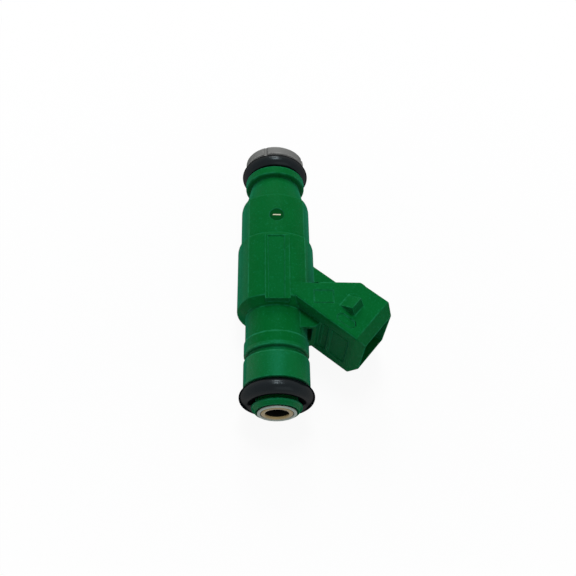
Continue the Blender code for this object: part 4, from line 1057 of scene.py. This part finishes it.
# %% Floor and backdrop colour
FLOOR_HALF_SIZE = 1.5
FLOOR_GREY = 0.80
FLOOR_ROUGHNESS = 0.9
NEAR_WHITENESS = 0.93
PAPER_FADE = (0.035, 0.11)  # metres from the middle, over which the floor turns pure white
WHITE = (1.0, 1.0, 1.0, 1.0)
floor_mesh = bpy.data.meshes.new("floor")
bm = bmesh.new()
bmesh.ops.create_grid(bm, x_segments=1, y_segments=1, size=FLOOR_HALF_SIZE)
bm.to_mesh(floor_mesh)
bm.free()
floor = bpy.data.objects.new("floor", floor_mesh)
scene.collection.objects.link(floor)


def seen_directly(tree):
    """1 where a ray from the camera, a mirror or glass meets the surface."""
    path = add(tree, "ShaderNodeLightPath")
    seen = math_node(tree, "MAXIMUM", path.outputs["Is Camera Ray"], path.outputs["Is Glossy Ray"])
    return math_node(tree, "MAXIMUM", seen, path.outputs["Is Transmission Ray"])


paper = bpy.data.materials.new("white_surface")
paper.use_nodes = True
tree = paper.node_tree
matt = tree.nodes["Principled BSDF"]
matt.inputs["Base Color"].default_value = (FLOOR_GREY, FLOOR_GREY, FLOOR_GREY, 1.0)
matt.inputs["Roughness"].default_value = FLOOR_ROUGHNESS
glow = add(tree, "ShaderNodeEmission")
glow.inputs["Color"].default_value = WHITE
blend = add(tree, "ShaderNodeMixShader")
place = add(tree, "ShaderNodeTexCoord")
away = add(tree, "ShaderNodeVectorMath", operation="LENGTH")
tree.links.new(place.outputs["Object"], away.inputs[0])
whiteness = range_between(tree, away.outputs["Value"], NEAR_WHITENESS, 1.0, PAPER_FADE)
tree.links.new(math_node(tree, "MULTIPLY", seen_directly(tree), whiteness), blend.inputs["Fac"])
tree.links.new(matt.outputs["BSDF"], blend.inputs[1])
tree.links.new(glow.outputs["Emission"], blend.inputs[2])
tree.links.new(blend.outputs["Shader"], tree.nodes["Material Output"].inputs["Surface"])
floor_mesh.materials.append(paper)
print("floor:", 2 * FLOOR_HALF_SIZE, "m wide")

# %% [markdown]
# Small lamps make sharp highlights and wide ones soft shadows. A small lamp overhead is the strongest
# light here, one behind the part lights what faces away, and a wide, weak one in front opens the
# shadows. The world adds an even light from all sides.

# %% World and lamps
WORLD_COLOUR = (0.85, 0.88, 0.92, 1.0)
WORLD_STRENGTH = 0.34
LAMP_AIM = (0, 0, 0.01)
world = bpy.data.worlds.new("studio")
world.use_nodes = True
scene.world = world
tree = world.node_tree
soft = tree.nodes["Background"]
soft.inputs["Color"].default_value = WORLD_COLOUR
soft.inputs["Strength"].default_value = WORLD_STRENGTH
backdrop = add(tree, "ShaderNodeBackground")
backdrop.inputs["Color"].default_value = WHITE
choose = add(tree, "ShaderNodeMixShader")
tree.links.new(seen_directly(tree), choose.inputs["Fac"])
tree.links.new(soft.outputs["Background"], choose.inputs[1])
tree.links.new(backdrop.outputs["Background"], choose.inputs[2])
tree.links.new(choose.outputs["Shader"], tree.nodes["World Output"].inputs["Surface"])


def soft_box(name, place, size, watts):
    """A square lamp that points at the part."""
    light = bpy.data.lights.new(name, "AREA")
    light.size = size
    light.energy = watts
    lamp = bpy.data.objects.new(name, light)
    lamp.location = place
    lamp.rotation_euler = (Vector(LAMP_AIM) - Vector(place)).to_track_quat("-Z", "Y").to_euler()
    scene.collection.objects.link(lamp)
    print(f"lamp {name}: {size} m wide, {watts} W")


soft_box("overhead", (-0.05, 0.16, 0.45), size=0.14, watts=1.15)
soft_box("rear", (-0.05, 0.40, 0.30), size=0.14, watts=0.85)
soft_box("front_fill", (0.10, -0.40, 0.30), size=0.35, watts=0.25)
scene.view_settings.view_transform = "Standard"
